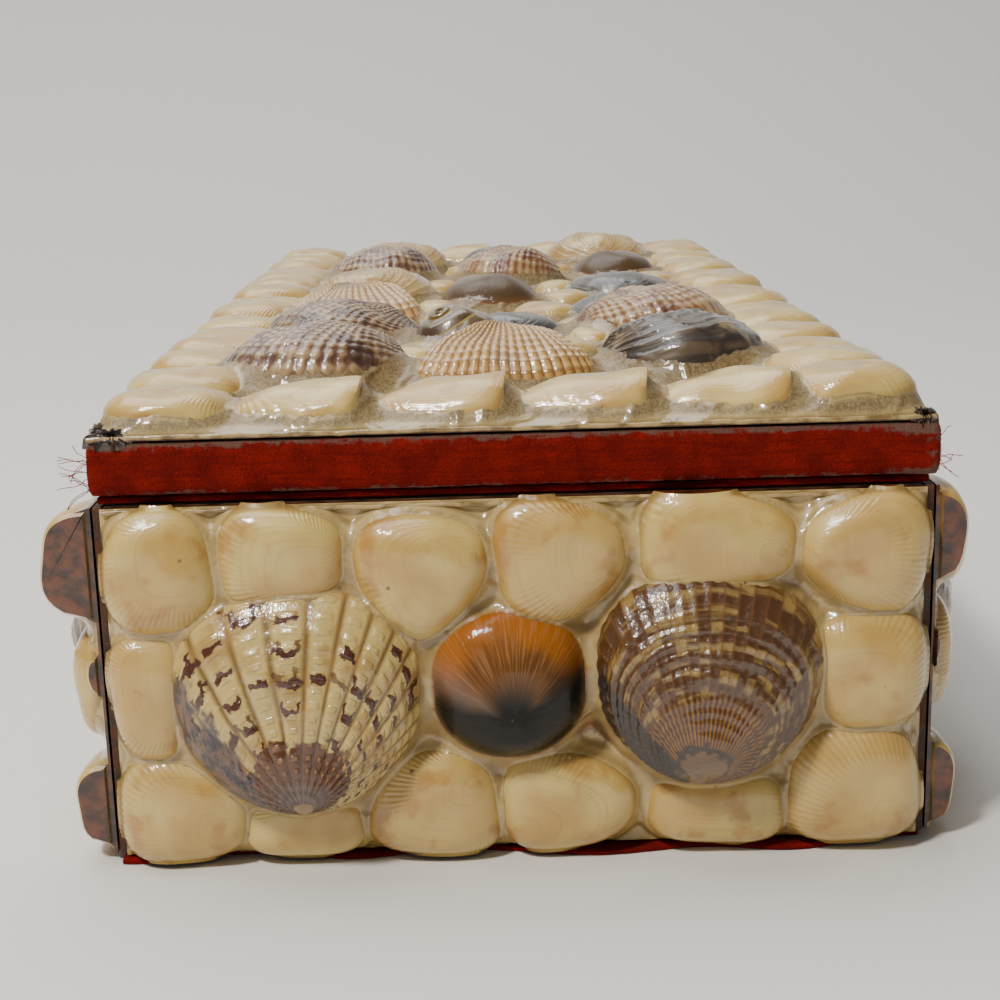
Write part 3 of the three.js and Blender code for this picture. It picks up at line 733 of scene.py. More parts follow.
def film_object(name, shells, tones, place, limits, material, pitch, pull=1.0, passes=120):
    """The film of one panel as a closed sheet with its flat back on the card."""
    low, high = limits
    xs, ys, height, gap, nearest = film_height(shells, low, high, pitch, pull, passes)
    rows, columns = height.shape
    grid_x, grid_y = np.meshgrid(xs, ys)
    front = np.stack([grid_x, grid_y, height], axis=-1).reshape(-1, 3)
    edge = [(0, c) for c in range(columns)] + [(r, columns - 1) for r in range(1, rows)]
    edge += [(rows - 1, c) for c in range(columns - 2, -1, -1)]
    edge += [(r, 0) for r in range(rows - 2, 0, -1)]
    back = np.array([(xs[c], ys[r], 0.0) for r, c in edge])
    points = np.concatenate([front, back])
    index = np.arange(rows * columns).reshape(rows, columns)
    quads = np.stack([index[:-1, :-1], index[:-1, 1:], index[1:, 1:], index[1:, :-1]], axis=-1)
    faces = quads.reshape(-1, 4).tolist()
    first, count = rows * columns, len(edge)
    for i, (r, c) in enumerate(edge):
        n = (i + 1) % count
        faces.append((int(index[r, c]), first + i, first + n, int(index[edge[n]])))
    faces.append(tuple(first + i for i in range(count - 1, -1, -1)))
    mesh = bpy.data.meshes.new(name)
    mesh.from_pydata(points.tolist(), [], faces)
    depth = mesh.attributes.new("gap", "FLOAT", "POINT")
    depth.data.foreach_set("value", np.append(gap.ravel(), np.zeros(count)).astype(np.float32))
    seen = np.array([linear(tone) for tone in tones])[nearest.ravel()]
    seen = np.concatenate([seen, np.tile(seen[:1], (count, 1))])
    shade = mesh.attributes.new("beneath", "FLOAT_COLOR", "POINT")
    shade.data.foreach_set("color", seen.astype(np.float32).ravel())
    mesh.materials.append(material)
    mesh.materials.append(glue_and_shadow_end)
    ends = mesh.polygons[len(quads.reshape(-1, 4)):]
    for face in ends:
        face.material_index = 1
    solid = bmesh.new()
    solid.from_mesh(mesh)
    bmesh.ops.recalc_face_normals(solid, faces=solid.faces)
    for face in solid.faces:
        face.smooth = True
    solid.to_mesh(mesh)
    solid.free()
    mesh.transform(place)
    mesh.set_sharp_from_angle(angle=math.radians(60))
    piece = bpy.data.objects.new(name, mesh)
    bpy.context.scene.collection.objects.link(piece)
    return piece


def film_material(name, glue, deep, dust=0.0):
    """Clear film over beige glue: glossy and faintly wrinkled; where dust has settled in the
    hollows it turns grey and dull."""
    material, tree = new_material(name)
    place = add_node(tree, "TexCoord").outputs["Object"]
    gap = add_node(tree, "Attribute", attribute_name="gap").outputs["Fac"]
    beneath = add_node(tree, "Attribute", attribute_name="beneath").outputs["Color"]
    cloudy = add_node(tree, "TexNoise", place, 1 / (4.0 * MM), 4)
    colour = fade(tree, cloudy, (0.35, 0.65), glue, deep)
    colour = fade(tree, gap, (0.3, 1.2, 0.25, 1.0), beneath, colour)
    # A thin dark line where the film leaves each shell: painted shade along the contact.
    rim = add_node(tree, "Math",
        add_node(tree, "MapRange", gap, 0.02, 0.1, interpolation_type="SMOOTHSTEP"),
        add_node(tree, "MapRange", gap, 0.2, 0.5, 1, 0, interpolation_type="SMOOTHSTEP"),
        operation="MULTIPLY")
    colour = add_node(tree, "Mix", add_node(tree, "Math", rim, 0.45, operation="MULTIPLY"), colour,
        linear("#6a5026"), data_type="RGBA")
    grain = add_node(tree, "TexNoise", place, 1 / (0.35 * MM), 3, 0.7)
    speck = add_node(tree, "TexVoronoi", {"Vector": place, "Scale": 1 / (3.2 * MM)})
    fleck = add_node(tree, "MapRange", speck.outputs["Distance"], 0.04, 0.09, 0.8, 0,
        interpolation_type="SMOOTHSTEP")
    colour = add_node(tree, "Mix", fleck, colour, linear("#54402a"), data_type="RGBA")
    dusty = add_node(tree, "Math",
        add_node(tree, "MapRange", gap, 0.15, 0.8, interpolation_type="SMOOTHSTEP"), dust,
        operation="MULTIPLY")
    dust_tone = fade(tree, grain, (0.35, 0.65), "#4e4028", "#a08e6a")
    colour = add_node(tree, "Mix", dusty, colour, dust_tone, data_type="RGBA")
    ridge = add_node(tree, "Math",
        add_node(tree, "Math", add_node(tree, "TexNoise", place, 1 / (7.0 * MM), 1), 0.5,
            operation="SUBTRACT"), operation="ABSOLUTE")
    fold = add_node(tree, "Math",
        add_node(tree, "Math",
            add_node(tree, "MapRange", ridge, 0.0, 0.1, 1, 0, interpolation_type="SMOOTHSTEP"), 0.6,
            operation="MULTIPLY"), add_node(tree, "TexNoise", place, 1 / (2.6 * MM), 2),
        operation="ADD")
    wrinkle = add_node(tree, "Bump", {"Height": fold, "Distance": 0.3 * MM})
    skin = add_node(tree, "Bump", {"Height": grain, "Distance": 0.04 * MM, "Normal": wrinkle})
    add_node(tree, "OutputMaterial",
        add_node(tree, "BsdfPrincipled",
            {"Base Color": colour,
                "Roughness": add_node(tree, "MapRange", dusty, 0.0, 1.0, 0.35, 0.85,
                    interpolation_type="SMOOTHSTEP"), "Normal": skin,
                "Coat Weight": add_node(tree, "MapRange", dusty, 0.0, 0.8, 1.0, 0.1,
                    interpolation_type="SMOOTHSTEP"), "Coat Roughness": 0.09, "Coat IOR": 1.5,
                "Coat Normal": wrinkle}))
    return material


CREAM_TONE, SPOTTED_TONE, CHECKED_TONE = "#c9ac6c", "#8a6c40", "#5c3c1e"
LIMPET_TONE = "#8e521e"
clear_film = film_material("clear_film_over_beige_glue", "#b39762", "#957a48")
front_tones = [CREAM_TONE] * len(front_creams) + [SPOTTED_TONE, LIMPET_TONE, CHECKED_TONE]
piece = film_object("front_film", front_creams + [front_spotted, front_limpet, front_checked],
                    front_tones, front_place, front_limits, clear_film, 0.36)
finish_piece(piece, "cream_shell", "front_cream_shells")

# ---- Back panel -----------------------------------------------------------------------------
# Plainer and more even than the front: two rows of seven cream clams, one at each end, and a
# checked clam, a limpet and a spotted clam between them, under the same film.
back_place = panel_place("back_cream_shells", "back")
back_limits = panel_limits("back_cream_shells", back_place)
UPPER_ROW, LOWER_ROW, BETWEEN = 38.6, 7.6, 22.5
back_creams = []
for column in range(7):
    x = (column - 3) * 14.3
    turn = vary(1, column, 12)
    back_creams.append(shell(x, UPPER_ROW, 14.3, 14 + vary(2, column, 1), turn, 4.1,
                             vary(4, column, 180)))
    back_creams.append(shell(x, LOWER_ROW, 14.3, 13 + vary(3, column, 1), -turn, 3.9,
                             vary(5, column, 180)))
back_creams += [shell(-45.4, BETWEEN, 9, 15), shell(45.4, BETWEEN, 9, 15)]
piece = shells_object("back_cream_clams", back_creams, back_place, [cream_material, glue_and_shadow_end],
                      back_limits)
finish_piece(piece, "cream_shell", "back_cream_shells")

ringed_relief = ringed(13, 0.15, 0.05)
ribbed_relief = broad_ribs(0.3, 16, 0.06)
back_checked = large_shell("back_checked_venus", back_place, 27.4, 27, 5, **CHECKED,
                           relief=ringed_relief)
back_limpet = large_shell("back_limpet", back_place, 18.8, 19, **LIMPET)
back_spotted = large_shell("back_spotted_venus", back_place, 29, 28, -4, **VENUS, ribs=34,
                           relief=ribbed_relief, columns=144, rows=30)
for name, facts, material, slot, node in (
        ("back_checked_clam", back_checked, checked_material, "checked_shell",
         "back_checked_venus"),
        ("back_limpet_shell", back_limpet, brown_limpet, "limpet_shell", "back_limpet"),
        ("back_spotted_clam", back_spotted, spotted_material, "spotted_shell",
         "back_spotted_venus")):
    finish_piece(shells_object(name, [facts], back_place, [material]), slot, node)
piece = film_object("back_film", back_creams + [back_checked, back_limpet, back_spotted],
                    [CREAM_TONE] * len(back_creams) + [CHECKED_TONE, LIMPET_TONE, SPOTTED_TONE],
                    back_place, back_limits, clear_film, 0.7)
finish_piece(piece, "cream_shell", "back_cream_shells")

# ---- Side panels ----------------------------------------------------------------------------
# Each long side carries two rows of cream clams and, between them, seven large shells: venus
# clams and limpets in turn. The shells at the front corners are cut off square with the card,
# and their open ends show brown glue and painted shadow from the front.
SIDE_PITCH = 15.0
END = 105.0


def side_creams(seed, front_end):
    creams = [shell(*numbers, beak=vary(seed, index, 180))
              for index, numbers in enumerate(front_end)]
    sign = 1 if creams[0]["x"] > 0 else -1
    for column in range(14):
        along = (column + 0.5) * SIDE_PITCH - END
        turn = vary(seed, column, 14)
        if along * sign > END - SIDE_PITCH:
            continue
        creams.append(shell(along, UPPER_ROW, 14.9, 14.2 + vary(seed + 1, column, 1), turn, 4.2,
                            vary(seed + 3, column, 180)))
        creams.append(shell(along, LOWER_ROW, 14.9, 13.4 + vary(seed + 2, column, 1), -turn, 4,
                            vary(seed + 4, column, 180)))
    creams.append(shell(-sign * (END - 6), BETWEEN, 11, 15.4))
    return creams


side_kinds = [("spotted_venus", 1), ("limpet", 2), ("checked_venus", 3), ("limpet", 4),
              ("spotted_venus", 5), ("limpet", 6), ("checked_venus", 7)]
left_end = [(101.6, 38.6, 14, 14.6, 0, 6.2), (99.6, 22.8, 11, 15.6, 0, 3.8),
            (101.8, 7.4, 12, 11.6, 0, 4.3)]
right_end = [(-100.4, 39.2, 13.4, 13.4, 0, 3.9), (-99.6, 23.6, 11, 15.4, 0, 2.8),
             (-101.6, 7.2, 12, 12, 0, 3.2)]
for side, seed, front_end in (("left", 11, left_end), ("right", 31, right_end)):
    creams_node = side + "_cream_shells"
    side_place = panel_place(creams_node, side)
    side_limits = panel_limits(creams_node, side_place)
    creams = side_creams(seed, front_end)
    for facts in creams[:3]:
        facts.update(columns=72, rows=16)
    piece = shells_object(side + "_cream_clams", creams, side_place,
                          [cream_material, glue_and_shadow_end], side_limits)
    finish_piece(piece, "cream_shell", creams_node)
    spotted, checked, limpets = [], [], []
    for kind, number in side_kinds:
        node = f"{side}_{kind}_{number}"
        turn = vary(seed + 10, number - 1, 9)
        if kind == "spotted_venus":
            spotted.append(large_shell(node, side_place, 29, 28, turn, **VENUS, ribs=34,
                                       relief=ribbed_relief, columns=120))
        elif kind == "checked_venus":
            checked.append(large_shell(node, side_place, 27.4, 27, turn, **CHECKED,
                                       relief=ringed_relief))
        else:
            limpets.append(large_shell(node, side_place, 18.8, 19, turn, **LIMPET))
    for name, group, material, slot, nodes in (
            ("spotted_clams", spotted, spotted_material, "spotted_shell",
             ("spotted_venus_1", "spotted_venus_5")),
            ("checked_clams", checked, checked_material, "checked_shell",
             ("checked_venus_3", "checked_venus_7")),
            ("limpets", limpets, brown_limpet, "limpet_shell",
             ("limpet_2", "limpet_4", "limpet_6"))):
        piece = shells_object(f"{side}_{name}", group, side_place, [material])
        finish_piece(piece, slot, *[f"{side}_{node}" for node in nodes])
    tones = [CREAM_TONE] * len(creams) + [SPOTTED_TONE] * len(spotted)
    tones += [CHECKED_TONE] * len(checked) + [LIMPET_TONE] * len(limpets)
    piece = film_object(side + "_film", creams + spotted + checked + limpets, tones,
                        side_place, side_limits, clear_film, 0.8)
    finish_piece(piece, "cream_shell", creams_node)

# ---- Top: the small cream shells ------------------------------------------------------------
# Wedge-shaped halves lie end to end along the front and back edges of the lid, oval ones lie
# across its long edges, and small ones fill in between the large shells.
top_place = panel_place("top_cream_shells", "top")
top_limits = panel_limits("top_cream_shells", top_place)
top_creams = []
for row, y in ((0, -97.6), (1, 97.8)):
    for column in range(4):
        top_creams.append(shell(
            (column - 1.52) * 17.5, y, 11.6, 18.4, -90 + vary(row, column, 5), 5.4, 172,
            taper=0.3, square=4, lean=-0.9, plump=2.0, ribs=44))
for side in (-1, 1):
    for column in range(15):
        top_creams.append(shell(
            side * 42.4, (column - 7) * 13.95, 17.4, 14.0, side * (8 + vary(side + 5, column, 6)),
            5.0 + vary(side, column, 0.5), 90 + side * 80))
top_fillers = [
    (-13, -60.4, 9, 7), (8.4, -56, 11, 9), (13.4, -31.4, 10, 10), (-8, -22, 15, 11),
    (8, -10.6, 13, 10), (32, -19, 10, 9), (33.4, -53, 8, 9), (-33, -28, 9, 10),
    (-12, -40, 9, 8), (31, 8.6, 12, 9), (-31, 6.4, 11, 9), (-11.6, 31, 10, 10),
    (13, 9, 10, 9), (-33, 36, 9, 10), (31.6, 37.6, 10, 9), (-5, 61.4, 14, 10),
    (11.4, 62, 13, 10), (-33, 64.4, 8, 9), (33, 64.6, 9, 9), (11.6, 26, 9, 9),
    (-11, -3.6, 9, 9), (14, -45, 9, 8)]
top_creams += [shell(x, y, width, height, vary(x, y, 40), 3.6, vary(y, x, 180))
               for x, y, width, height in top_fillers]
for facts in top_creams:
    if facts["y"] < -80:
        facts.update(columns=96, rows=18)
    facts["limits"] = top_limits
piece = shells_object("top_cream_clams", top_creams, top_place, [cream_material, glue_and_shadow_end],
                      None)
finish_piece(piece, "cream_shell", "top_cream_shells")

# ---- Top: venus clams -----------------------------------------------------------------------
# Speckled venus clams have purple-brown ground between beige beads. The dark one is weathered
# grey-brown, with thin raised growth edges and white streaks.
def beaded(rings, depth):
    """Beads where ribs and growth rings cross."""
    def relief(rows, count):
        rib = 0.5 + 0.5 * np.cos(count * 2 * math.pi)
        ring = 0.5 + 0.5 * np.sin(2 * math.pi * rows * rings)
        return depth * (rib * ring - 0.4) * np.clip(rows / 0.3, 0, 1)
    return relief


def edged(steps, depth):
    """Thin raised growth edges, like shingles."""
    def relief(rows, count):
        step = (rows * steps + 0.08 * np.sin(count * 2)) % 1
        return depth * (step ** 3 - 0.3) * np.clip(rows / 0.3, 0, 1)
    return relief


def beaded_venus_material(name, bead, ground, blot, rings, blot_low):
    """Venus clam: pale beads over a dark ground, with broad darker blots."""
    material, tree = new_material(name)
    place = add_node(tree, "TexCoord").outputs["Object"]
    about, out = growth_of(tree)
    rib = add_node(tree, "Math", add_node(tree, "Math", about, 2 * math.pi, operation="MULTIPLY"),
        operation="COSINE")
    ring = add_node(tree, "Math",
        add_node(tree, "Math", out, 2 * math.pi * rings, operation="MULTIPLY"), operation="SINE")
    luck = streaks(tree, about, out, 0.5, rings * 0.5)
    raised = add_node(tree, "Math", add_node(tree, "Math", rib, 0.35, operation="MULTIPLY"),
        add_node(tree, "Math", add_node(tree, "Math", ring, 0.35, operation="MULTIPLY"),
            add_node(tree, "Math", luck, 3.0, operation="MULTIPLY"), operation="ADD"), operation="ADD")
    colour = fade(tree, raised, (1.1, 2.0), ground, bead)
    blots = add_node(tree, "TexNoise", place, 1 / (5.0 * MM), 4)
    colour = fade(tree, blots, (blot_low, blot_low + 0.1, 0, 0.85), colour, blot)
    relief = add_node(tree, "Math", raised, add_node(tree, "TexNoise", place, 1 / (0.7 * MM), 3),
        operation="ADD")
    under_film(tree, colour, relief, 0.12, 0.42, 0.1)
    return material


speckled_material = beaded_venus_material(
    "speckled_venus_clam_shell", "#ab8d64", "#684632", "#432a1e", 19, 0.54)
rusty_material = beaded_venus_material(
    "rust_spotted_venus_clam_shell", "#b59868", "#8c5c34", "#5a220a", 15, 0.52)
dark_material, tree = new_material("weathered_dark_venus_clam_shell")
place = add_node(tree, "TexCoord").outputs["Object"]
about, out = growth_of(tree)
edge = streaks(tree, about, out, 0.1, 20)
colour = fade(tree, edge, (0.4, 0.62), "#352a20", "#5e4c38")
worn_white = streaks(tree, about, out, 0.22, 4, 5.0, 4.0)
colour = fade(tree, worn_white, (0.55, 0.66, 0, 0.9), colour, "#96825f")
colour = fade(tree, add_node(tree, "TexNoise", place, 1 / (5.0 * MM), 4), (0.5, 0.62, 0, 0.8), colour,
    "#2a2018")
under_film(tree, colour, edge, 0.2, 0.45, 0.1)

TOP_VENUS = dict(VENUS, ribs=84)
top_speckled = [
    large_shell("top_speckled_venus_front", top_place, 27, 24.4, 24, **TOP_VENUS,
                relief=beaded(19, 0.16)),
    large_shell("top_speckled_venus_middle", top_place, 25, 26, -12, **TOP_VENUS,
                relief=beaded(19, 0.16)),
    large_shell("top_speckled_venus_back", top_place, 24, 24, 20, **TOP_VENUS,
                relief=beaded(19, 0.16))]
top_rusty = [
    large_shell("top_spotted_venus_middle", top_place, 26, 25, 10, **TOP_VENUS,
                relief=beaded(15, 0.18)),
    large_shell("top_brown_venus", top_place, 23, 22, 8, **TOP_VENUS, relief=beaded(15, 0.18))]
top_dark = [large_shell("top_dark_venus", top_place, 24.4, 24, -10, **TOP_VENUS,
                        relief=edged(12, 0.22))]
for facts in top_speckled + top_rusty + top_dark:
    facts.update(columns=150, rows=34)
top_speckled[0].update(columns=220, rows=54, beak=48)
top_speckled[1].update(beak=20)
top_speckled[2].update(beak=100)
top_rusty[0].update(beak=150)
top_rusty[1].update(beak=60)
top_dark[0].update(columns=200, rows=54, beak=165)
for name, group, material, slot, nodes in (
        ("top_speckled_clams", top_speckled, speckled_material, "spotted_shell",
         ("top_speckled_venus_front", "top_speckled_venus_middle", "top_speckled_venus_back")),
        ("top_rust_spotted_clams", top_rusty, rusty_material, "checked_shell",
         ("top_spotted_venus_middle", "top_brown_venus")),
        ("top_weathered_clam", top_dark, dark_material, "checked_shell", ("top_dark_venus",))):
    finish_piece(shells_object(name, group, top_place, [material]), slot, *nodes)

# ---- Top: cockles, snail and plain clams ----------------------------------------------------
# Tan cockles with a grid of ribs and growth lines and a toothed front edge; a moon snail lying
# on its side with the whorl to the left; smooth slate-grey, dark and cream clams, and limpets.
def cockle_ribs(depth):
    def relief(rows, count):
        rib = np.abs(np.cos(count * math.pi)) ** 0.8
        ring = np.sin(2 * math.pi * rows * 16)
        return (depth * (rib - 0.6) + 0.06 * ring) * np.clip(rows / 0.25, 0, 1)
    return relief


def whorl(depth):
    """A groove that winds out from the tip."""
    def relief(rows, count):
        wound = (count + 1.1 * np.log(rows + 0.06)) % 1
        groove = np.exp(-((wound - 0.5) / 0.1) ** 2)
        swell = np.cos(2 * math.pi * (wound - 1.0))
        return (0.35 * depth * swell - depth * groove) * np.clip((1.05 - rows) / 0.5, 0, 1)
    return relief


cockle_material, tree = new_material("tan_cockle_shell")
place = add_node(tree, "TexCoord").outputs["Object"]
about, out = growth_of(tree)
rib = add_node(tree, "Math",
    add_node(tree, "Math", add_node(tree, "Math", about, math.pi, operation="MULTIPLY"),
        operation="COSINE"), operation="ABSOLUTE")
ring = add_node(tree, "Math", add_node(tree, "Math", out, 2 * math.pi * 16, operation="MULTIPLY"),
    operation="SINE")
colour = fade(tree, rib, (0.15, 0.6), "#8a5a20", "#cda25a")
colour = fade(tree, ring, (0.3, 1.0, 0, 0.7), colour, "#94682c")
colour = fade(tree, add_node(tree, "TexNoise", place, 1 / (5.0 * MM), 3), (0.5, 0.7, 0, 0.6), colour,
    "#8c6c50")
under_film(tree, colour,
    add_node(tree, "Math", rib, add_node(tree, "Math", ring, 0.3, operation="MULTIPLY"),
        operation="ADD"), 0.12, 0.42, 0.1)

snail_material, tree = new_material("moon_snail_shell")
place = add_node(tree, "TexCoord").outputs["Object"]
about, out = growth_of(tree)
wound = add_node(tree, "Math",
    add_node(tree, "Math", about,
        add_node(tree, "Math",
            add_node(tree, "Math", add_node(tree, "Math", out, 0.06, operation="ADD"), math.e,
                operation="LOGARITHM"), 1.1, operation="MULTIPLY"), operation="ADD"), operation="FRACT")
line = add_node(tree, "MapRange",
    add_node(tree, "Math", add_node(tree, "Math", wound, 0.38, operation="SUBTRACT"),
        operation="ABSOLUTE"), 0.03, 0.07, 1, 0, interpolation_type="SMOOTHSTEP")
line = add_node(tree, "Math", line,
    add_node(tree, "MapRange", out, 0.6, 0.8, 1, 0, interpolation_type="SMOOTHSTEP"),
    operation="MULTIPLY")
body = fade(tree, add_node(tree, "TexNoise", place, 1 / (4.0 * MM), 3), (0.4, 0.65), "#4a3420",
    "#6e563c")
body = fade(tree, out, (0.3, 0.6, 1, 0), body, "#6a5622")
body = add_node(tree, "Mix", line, body, linear("#b5a05c"), data_type="RGBA")
dark_line = add_node(tree, "MapRange",
    add_node(tree, "Math", add_node(tree, "Math", wound, 0.5, operation="SUBTRACT"),
        operation="ABSOLUTE"), 0.03, 0.07, 1, 0, interpolation_type="SMOOTHSTEP")
body = add_node(tree, "Mix", dark_line, body, linear("#2f2114"), data_type="RGBA")
under_film(tree, body, add_node(tree, "TexNoise", place, 1 / (1.0 * MM), 3), 0.06, 0.3, 0.05)


def plain_clam_material(name, light, dark, band_tone, bands):
    """Smooth clam with uneven growth bands."""
    material, tree = new_material(name)
    place = add_node(tree, "TexCoord").outputs["Object"]
    about, out = growth_of(tree)
    band = streaks(tree, about, out, 0.02, bands)
    body = fade(tree, add_node(tree, "TexNoise", place, 1 / (6.0 * MM), 3), (0.35, 0.65), light, dark)
    body = fade(tree, band, (0.48, 0.66, 0, 0.7), body, band_tone)
    under_film(tree, body, band, 0.12, 0.4, 0.09)
    return material


slate_material = plain_clam_material("slate_grey_clam_shell", "#4a4a48", "#383430", "#6e6452", 18)
pale_material = plain_clam_material("pale_clam_shell", "#d2b474", "#b48c4c", "#8a6228", 22)
top_limpet_material = limpet_material("worn_limpet_shell", "#a87840", "#8a6a48", "#54402a")

top_cockles = [
    large_shell("top_cockle_fan", top_place, 24, 19.4, 180, taper=0.3, lean=0.4, reach=0.85,
                beak=90, ribs=76, columns=240, rows=48, relief=cockle_ribs(0.2)),
    large_shell("top_cockle_middle", top_place, 25, 21, 160, taper=0.3, lean=0.4, reach=0.85,
                beak=100, ribs=70, columns=170, rows=30, relief=cockle_ribs(0.25))]
top_snail = large_shell("top_moon_snail", top_place, 15, 14.5, reach=0.5, beak=215, ribs=1,
                        lean=0.1, taper=0.0, plump=2.0, columns=140, rows=44, relief=whorl(0.45))
top_slate = [
    large_shell("top_blue_grey_clam", top_place, 17, 13, 0, taper=0.1),
    large_shell("top_grey_clam", top_place, 21, 17, 20, taper=0.1),
    large_shell("top_dark_clam", top_place, 22, 18, -15, taper=0.1),
    large_shell("top_grey_clam_back", top_place, 17.6, 16, 0, taper=0.1)]
top_pale = [
    large_shell("top_cream_clam_middle", top_place, 25, 20, 10, taper=0.1, relief=edged(8, 0.2)),
    large_shell("top_large_cream_clam_left", top_place, 25, 22, 12, taper=0.1,
                relief=edged(8, 0.2)),
    large_shell("top_large_cream_clam_right", top_place, 25, 22, -8, taper=0.1,
                relief=edged(8, 0.2))]
top_limpets = [
    large_shell("top_limpet_middle", top_place, 18.8, 19, **LIMPET),
    large_shell("top_limpet_back", top_place, 18.4, 18.4, **LIMPET)]
for name, group, material, slot, nodes in (
        ("top_cockles", top_cockles, cockle_material, "cockle_shell",
         ("top_cockle_fan", "top_cockle_middle")),
        ("top_snail", [top_snail], snail_material, "snail_shell", ("top_moon_snail",)),
        ("top_slate_clams", top_slate, slate_material, "slate_shell",
         ("top_blue_grey_clam", "top_grey_clam", "top_dark_clam", "top_grey_clam_back")),
        ("top_pale_clams", top_pale, pale_material, "cream_shell",
         ("top_cream_clam_middle", "top_large_cream_clam_left", "top_large_cream_clam_right")),
        ("top_limpets", top_limpets, top_limpet_material, "limpet_shell",
         ("top_limpet_middle", "top_limpet_back"))):
    finish_piece(shells_object(name, group, top_place, [material]), slot, *nodes)

# ---- Top: the film --------------------------------------------------------------------------
# The lid's sheet of film, with years of dust settled in its hollows.
dusty_film = film_material("dusty_film_over_glue", "#957a44", "#755c30", 0.5)
top_groups = [(top_creams, CREAM_TONE), (top_speckled, SPOTTED_TONE), (top_rusty, "#8a6040"),
              (top_dark, "#4a3a2c"), (top_cockles, "#a88648"), ([top_snail], "#5c4830"),
              (top_slate, "#4c4640"), (top_pale, CREAM_TONE), (top_limpets, LIMPET_TONE)]
top_shells = [facts for group, _ in top_groups for facts in group]
top_tones = [tone for group, tone in top_groups for _ in group]
piece = film_object("top_film", top_shells, top_tones, top_place, top_limits, dusty_film, 0.6,
                    pull=0.4)
finish_piece(piece, "cream_shell", "top_cream_shells")

# ---- Velvet: base and linings ---------------------------------------------------------------
# Thin red velvet glued to the card: under the box, inside the tray and over its rim, and
# under the lid. The pile is crushed and mottled where it has been pressed.
def velvet_material(name, red, deep, worn, wear_low):
    material, tree = new_material(name)
    place = add_node(tree, "TexCoord").outputs["Object"]
    crushed = add_node(tree, "TexNoise", place, 1 / (3.5 * MM), 4)
    pile = add_node(tree, "TexNoise", place, 1 / (0.28 * MM), 2, 0.7)
    colour = fade(tree, crushed, (0.3, 0.7, 0.3, 1.0), deep, red)
    colour = fade(tree, pile, (0.4, 0.7, 0, 0.7), colour, deep)
    drawn = add_node(tree, "VectorMath", place, (0.06, 0.06, 1.0), operation="MULTIPLY")
    thread = add_node(tree, "TexNoise", drawn, 1 / (0.45 * MM), 2)
    colour = fade(tree, thread, (0.5, 0.62, 0, 0.5), colour, deep)
    wear = add_node(tree, "Attribute", attribute_name="worn").outputs["Fac"]
    rubbed = add_node(tree, "Math", wear,
        add_node(tree, "Math",
            add_node(tree, "Math",
                add_node(tree, "Math", add_node(tree, "TexNoise", place, 1 / (1.6 * MM), 5, 0.7),
                    add_node(tree, "Math", thread, 0.5, operation="MULTIPLY"), operation="ADD"), 0.75,
                operation="SUBTRACT"), 1.2, operation="MULTIPLY"), operation="ADD")
    colour = fade(tree, rubbed, (wear_low, wear_low + 0.25, 0, 0.85), colour, worn)
    add_node(tree, "OutputMaterial",
        add_node(tree, "BsdfPrincipled",
            {"Base Color": colour, "Roughness": 0.95, "Specular IOR Level": 0.15, "Sheen Weight": 0.35,
                "Sheen Roughness": 0.4, "Sheen Tint": linear("#c05a4a"),
                "Normal": add_node(tree, "Bump", {"Height": pile, "Distance": 0.22 * MM})}))
    return material


velvet = velvet_material("red_velvet", "#8a100c", "#520606", "#5e4434", 0.75)


def cloth_object(name, node, spacing, wave, tongues=()):
    """A packed cloth with its corners rounded, cut into a grid and gently crumpled. Tongues
    are places, as x, width and reach, where its front edge sticks out."""
    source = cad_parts[node]
    solid = bmesh.new()
    solid.from_mesh(source.data)
    solid.transform(source.matrix_world)
    bmesh.ops.remove_doubles(solid, verts=solid.verts, dist=1e-6)
    bmesh.ops.dissolve_limit(solid, angle_limit=math.radians(1), verts=solid.verts,
                             edges=solid.edges)
    sharp = [e for e in solid.edges if e.calc_face_angle(0) > 0.5]
    bmesh.ops.bevel(solid, geom=sharp, offset=0.2 * MM, segments=2, profile=0.5,
                    affect="EDGES")
    low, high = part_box(node)
    for axis in range(3):
        count = int((high[axis] - low[axis]) / (spacing[axis] * MM))
        for step in range(1, count + 1):
            point = [0, 0, 0]
            normal = [0, 0, 0]
            point[axis] = low[axis] + (high[axis] - low[axis]) * step / (count + 1)
            normal[axis] = 1
            bmesh.ops.bisect_plane(
                solid, geom=solid.verts[:] + solid.edges[:] + solid.faces[:], dist=1e-6,
                plane_co=point, plane_no=normal)
    bmesh.ops.recalc_face_normals(solid, faces=solid.faces)
    solid.normal_update()
    for vertex in solid.verts:
        push = fractal(vertex.co / (5 * MM), 1.0, 2.0, 3) * wave * MM
        vertex.co = vertex.co + vertex.normal * (push - wave * MM * 0.5)
        for x, width, reach in tongues:
            if vertex.co.y < low[1] + 0.5 * MM:
                vertex.co.y -= reach * MM * math.exp(-((vertex.co.x / MM - x) / width) ** 2)
    for face in solid.faces:
        face.smooth = True
    mesh = bpy.data.meshes.new(name)
    solid.to_mesh(mesh)
    solid.free()
    mesh.attributes.new("worn", "FLOAT", "POINT")
    mesh.materials.append(velvet)
    mesh.set_sharp_from_angle(angle=math.radians(50))
    piece = bpy.data.objects.new(name, mesh)
    bpy.context.scene.collection.objects.link(piece)
    finish_piece(piece, "red_velvet", node)


cloth_object("base_velvet", "base_cloth", (1, 30, 2), 0.12,
             ((-49, 6, 2.0), (10, 12, 3.4), (34, 9, 3.4), (-21, 8, 2.4)))
cloth_object("tray_lining_velvet", "tray_lining", (4, 4, 4), 0.12)
cloth_object("lid_lining_velvet", "lid_lining", (4, 4, 4), 0.12)

# ---- Velvet: the lid's ribbon ---------------------------------------------------------------
# A strip of the same velvet glued round the edge of the lid. Its cut edges are rubbed down to
# the brown backing, it is frayed at one front corner and folded over at the other.
ribbon_low, ribbon_high = (np.array(corner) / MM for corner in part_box("lid_ribbon"))
RIBBON_THICK = 0.8
CORNER = 0.8


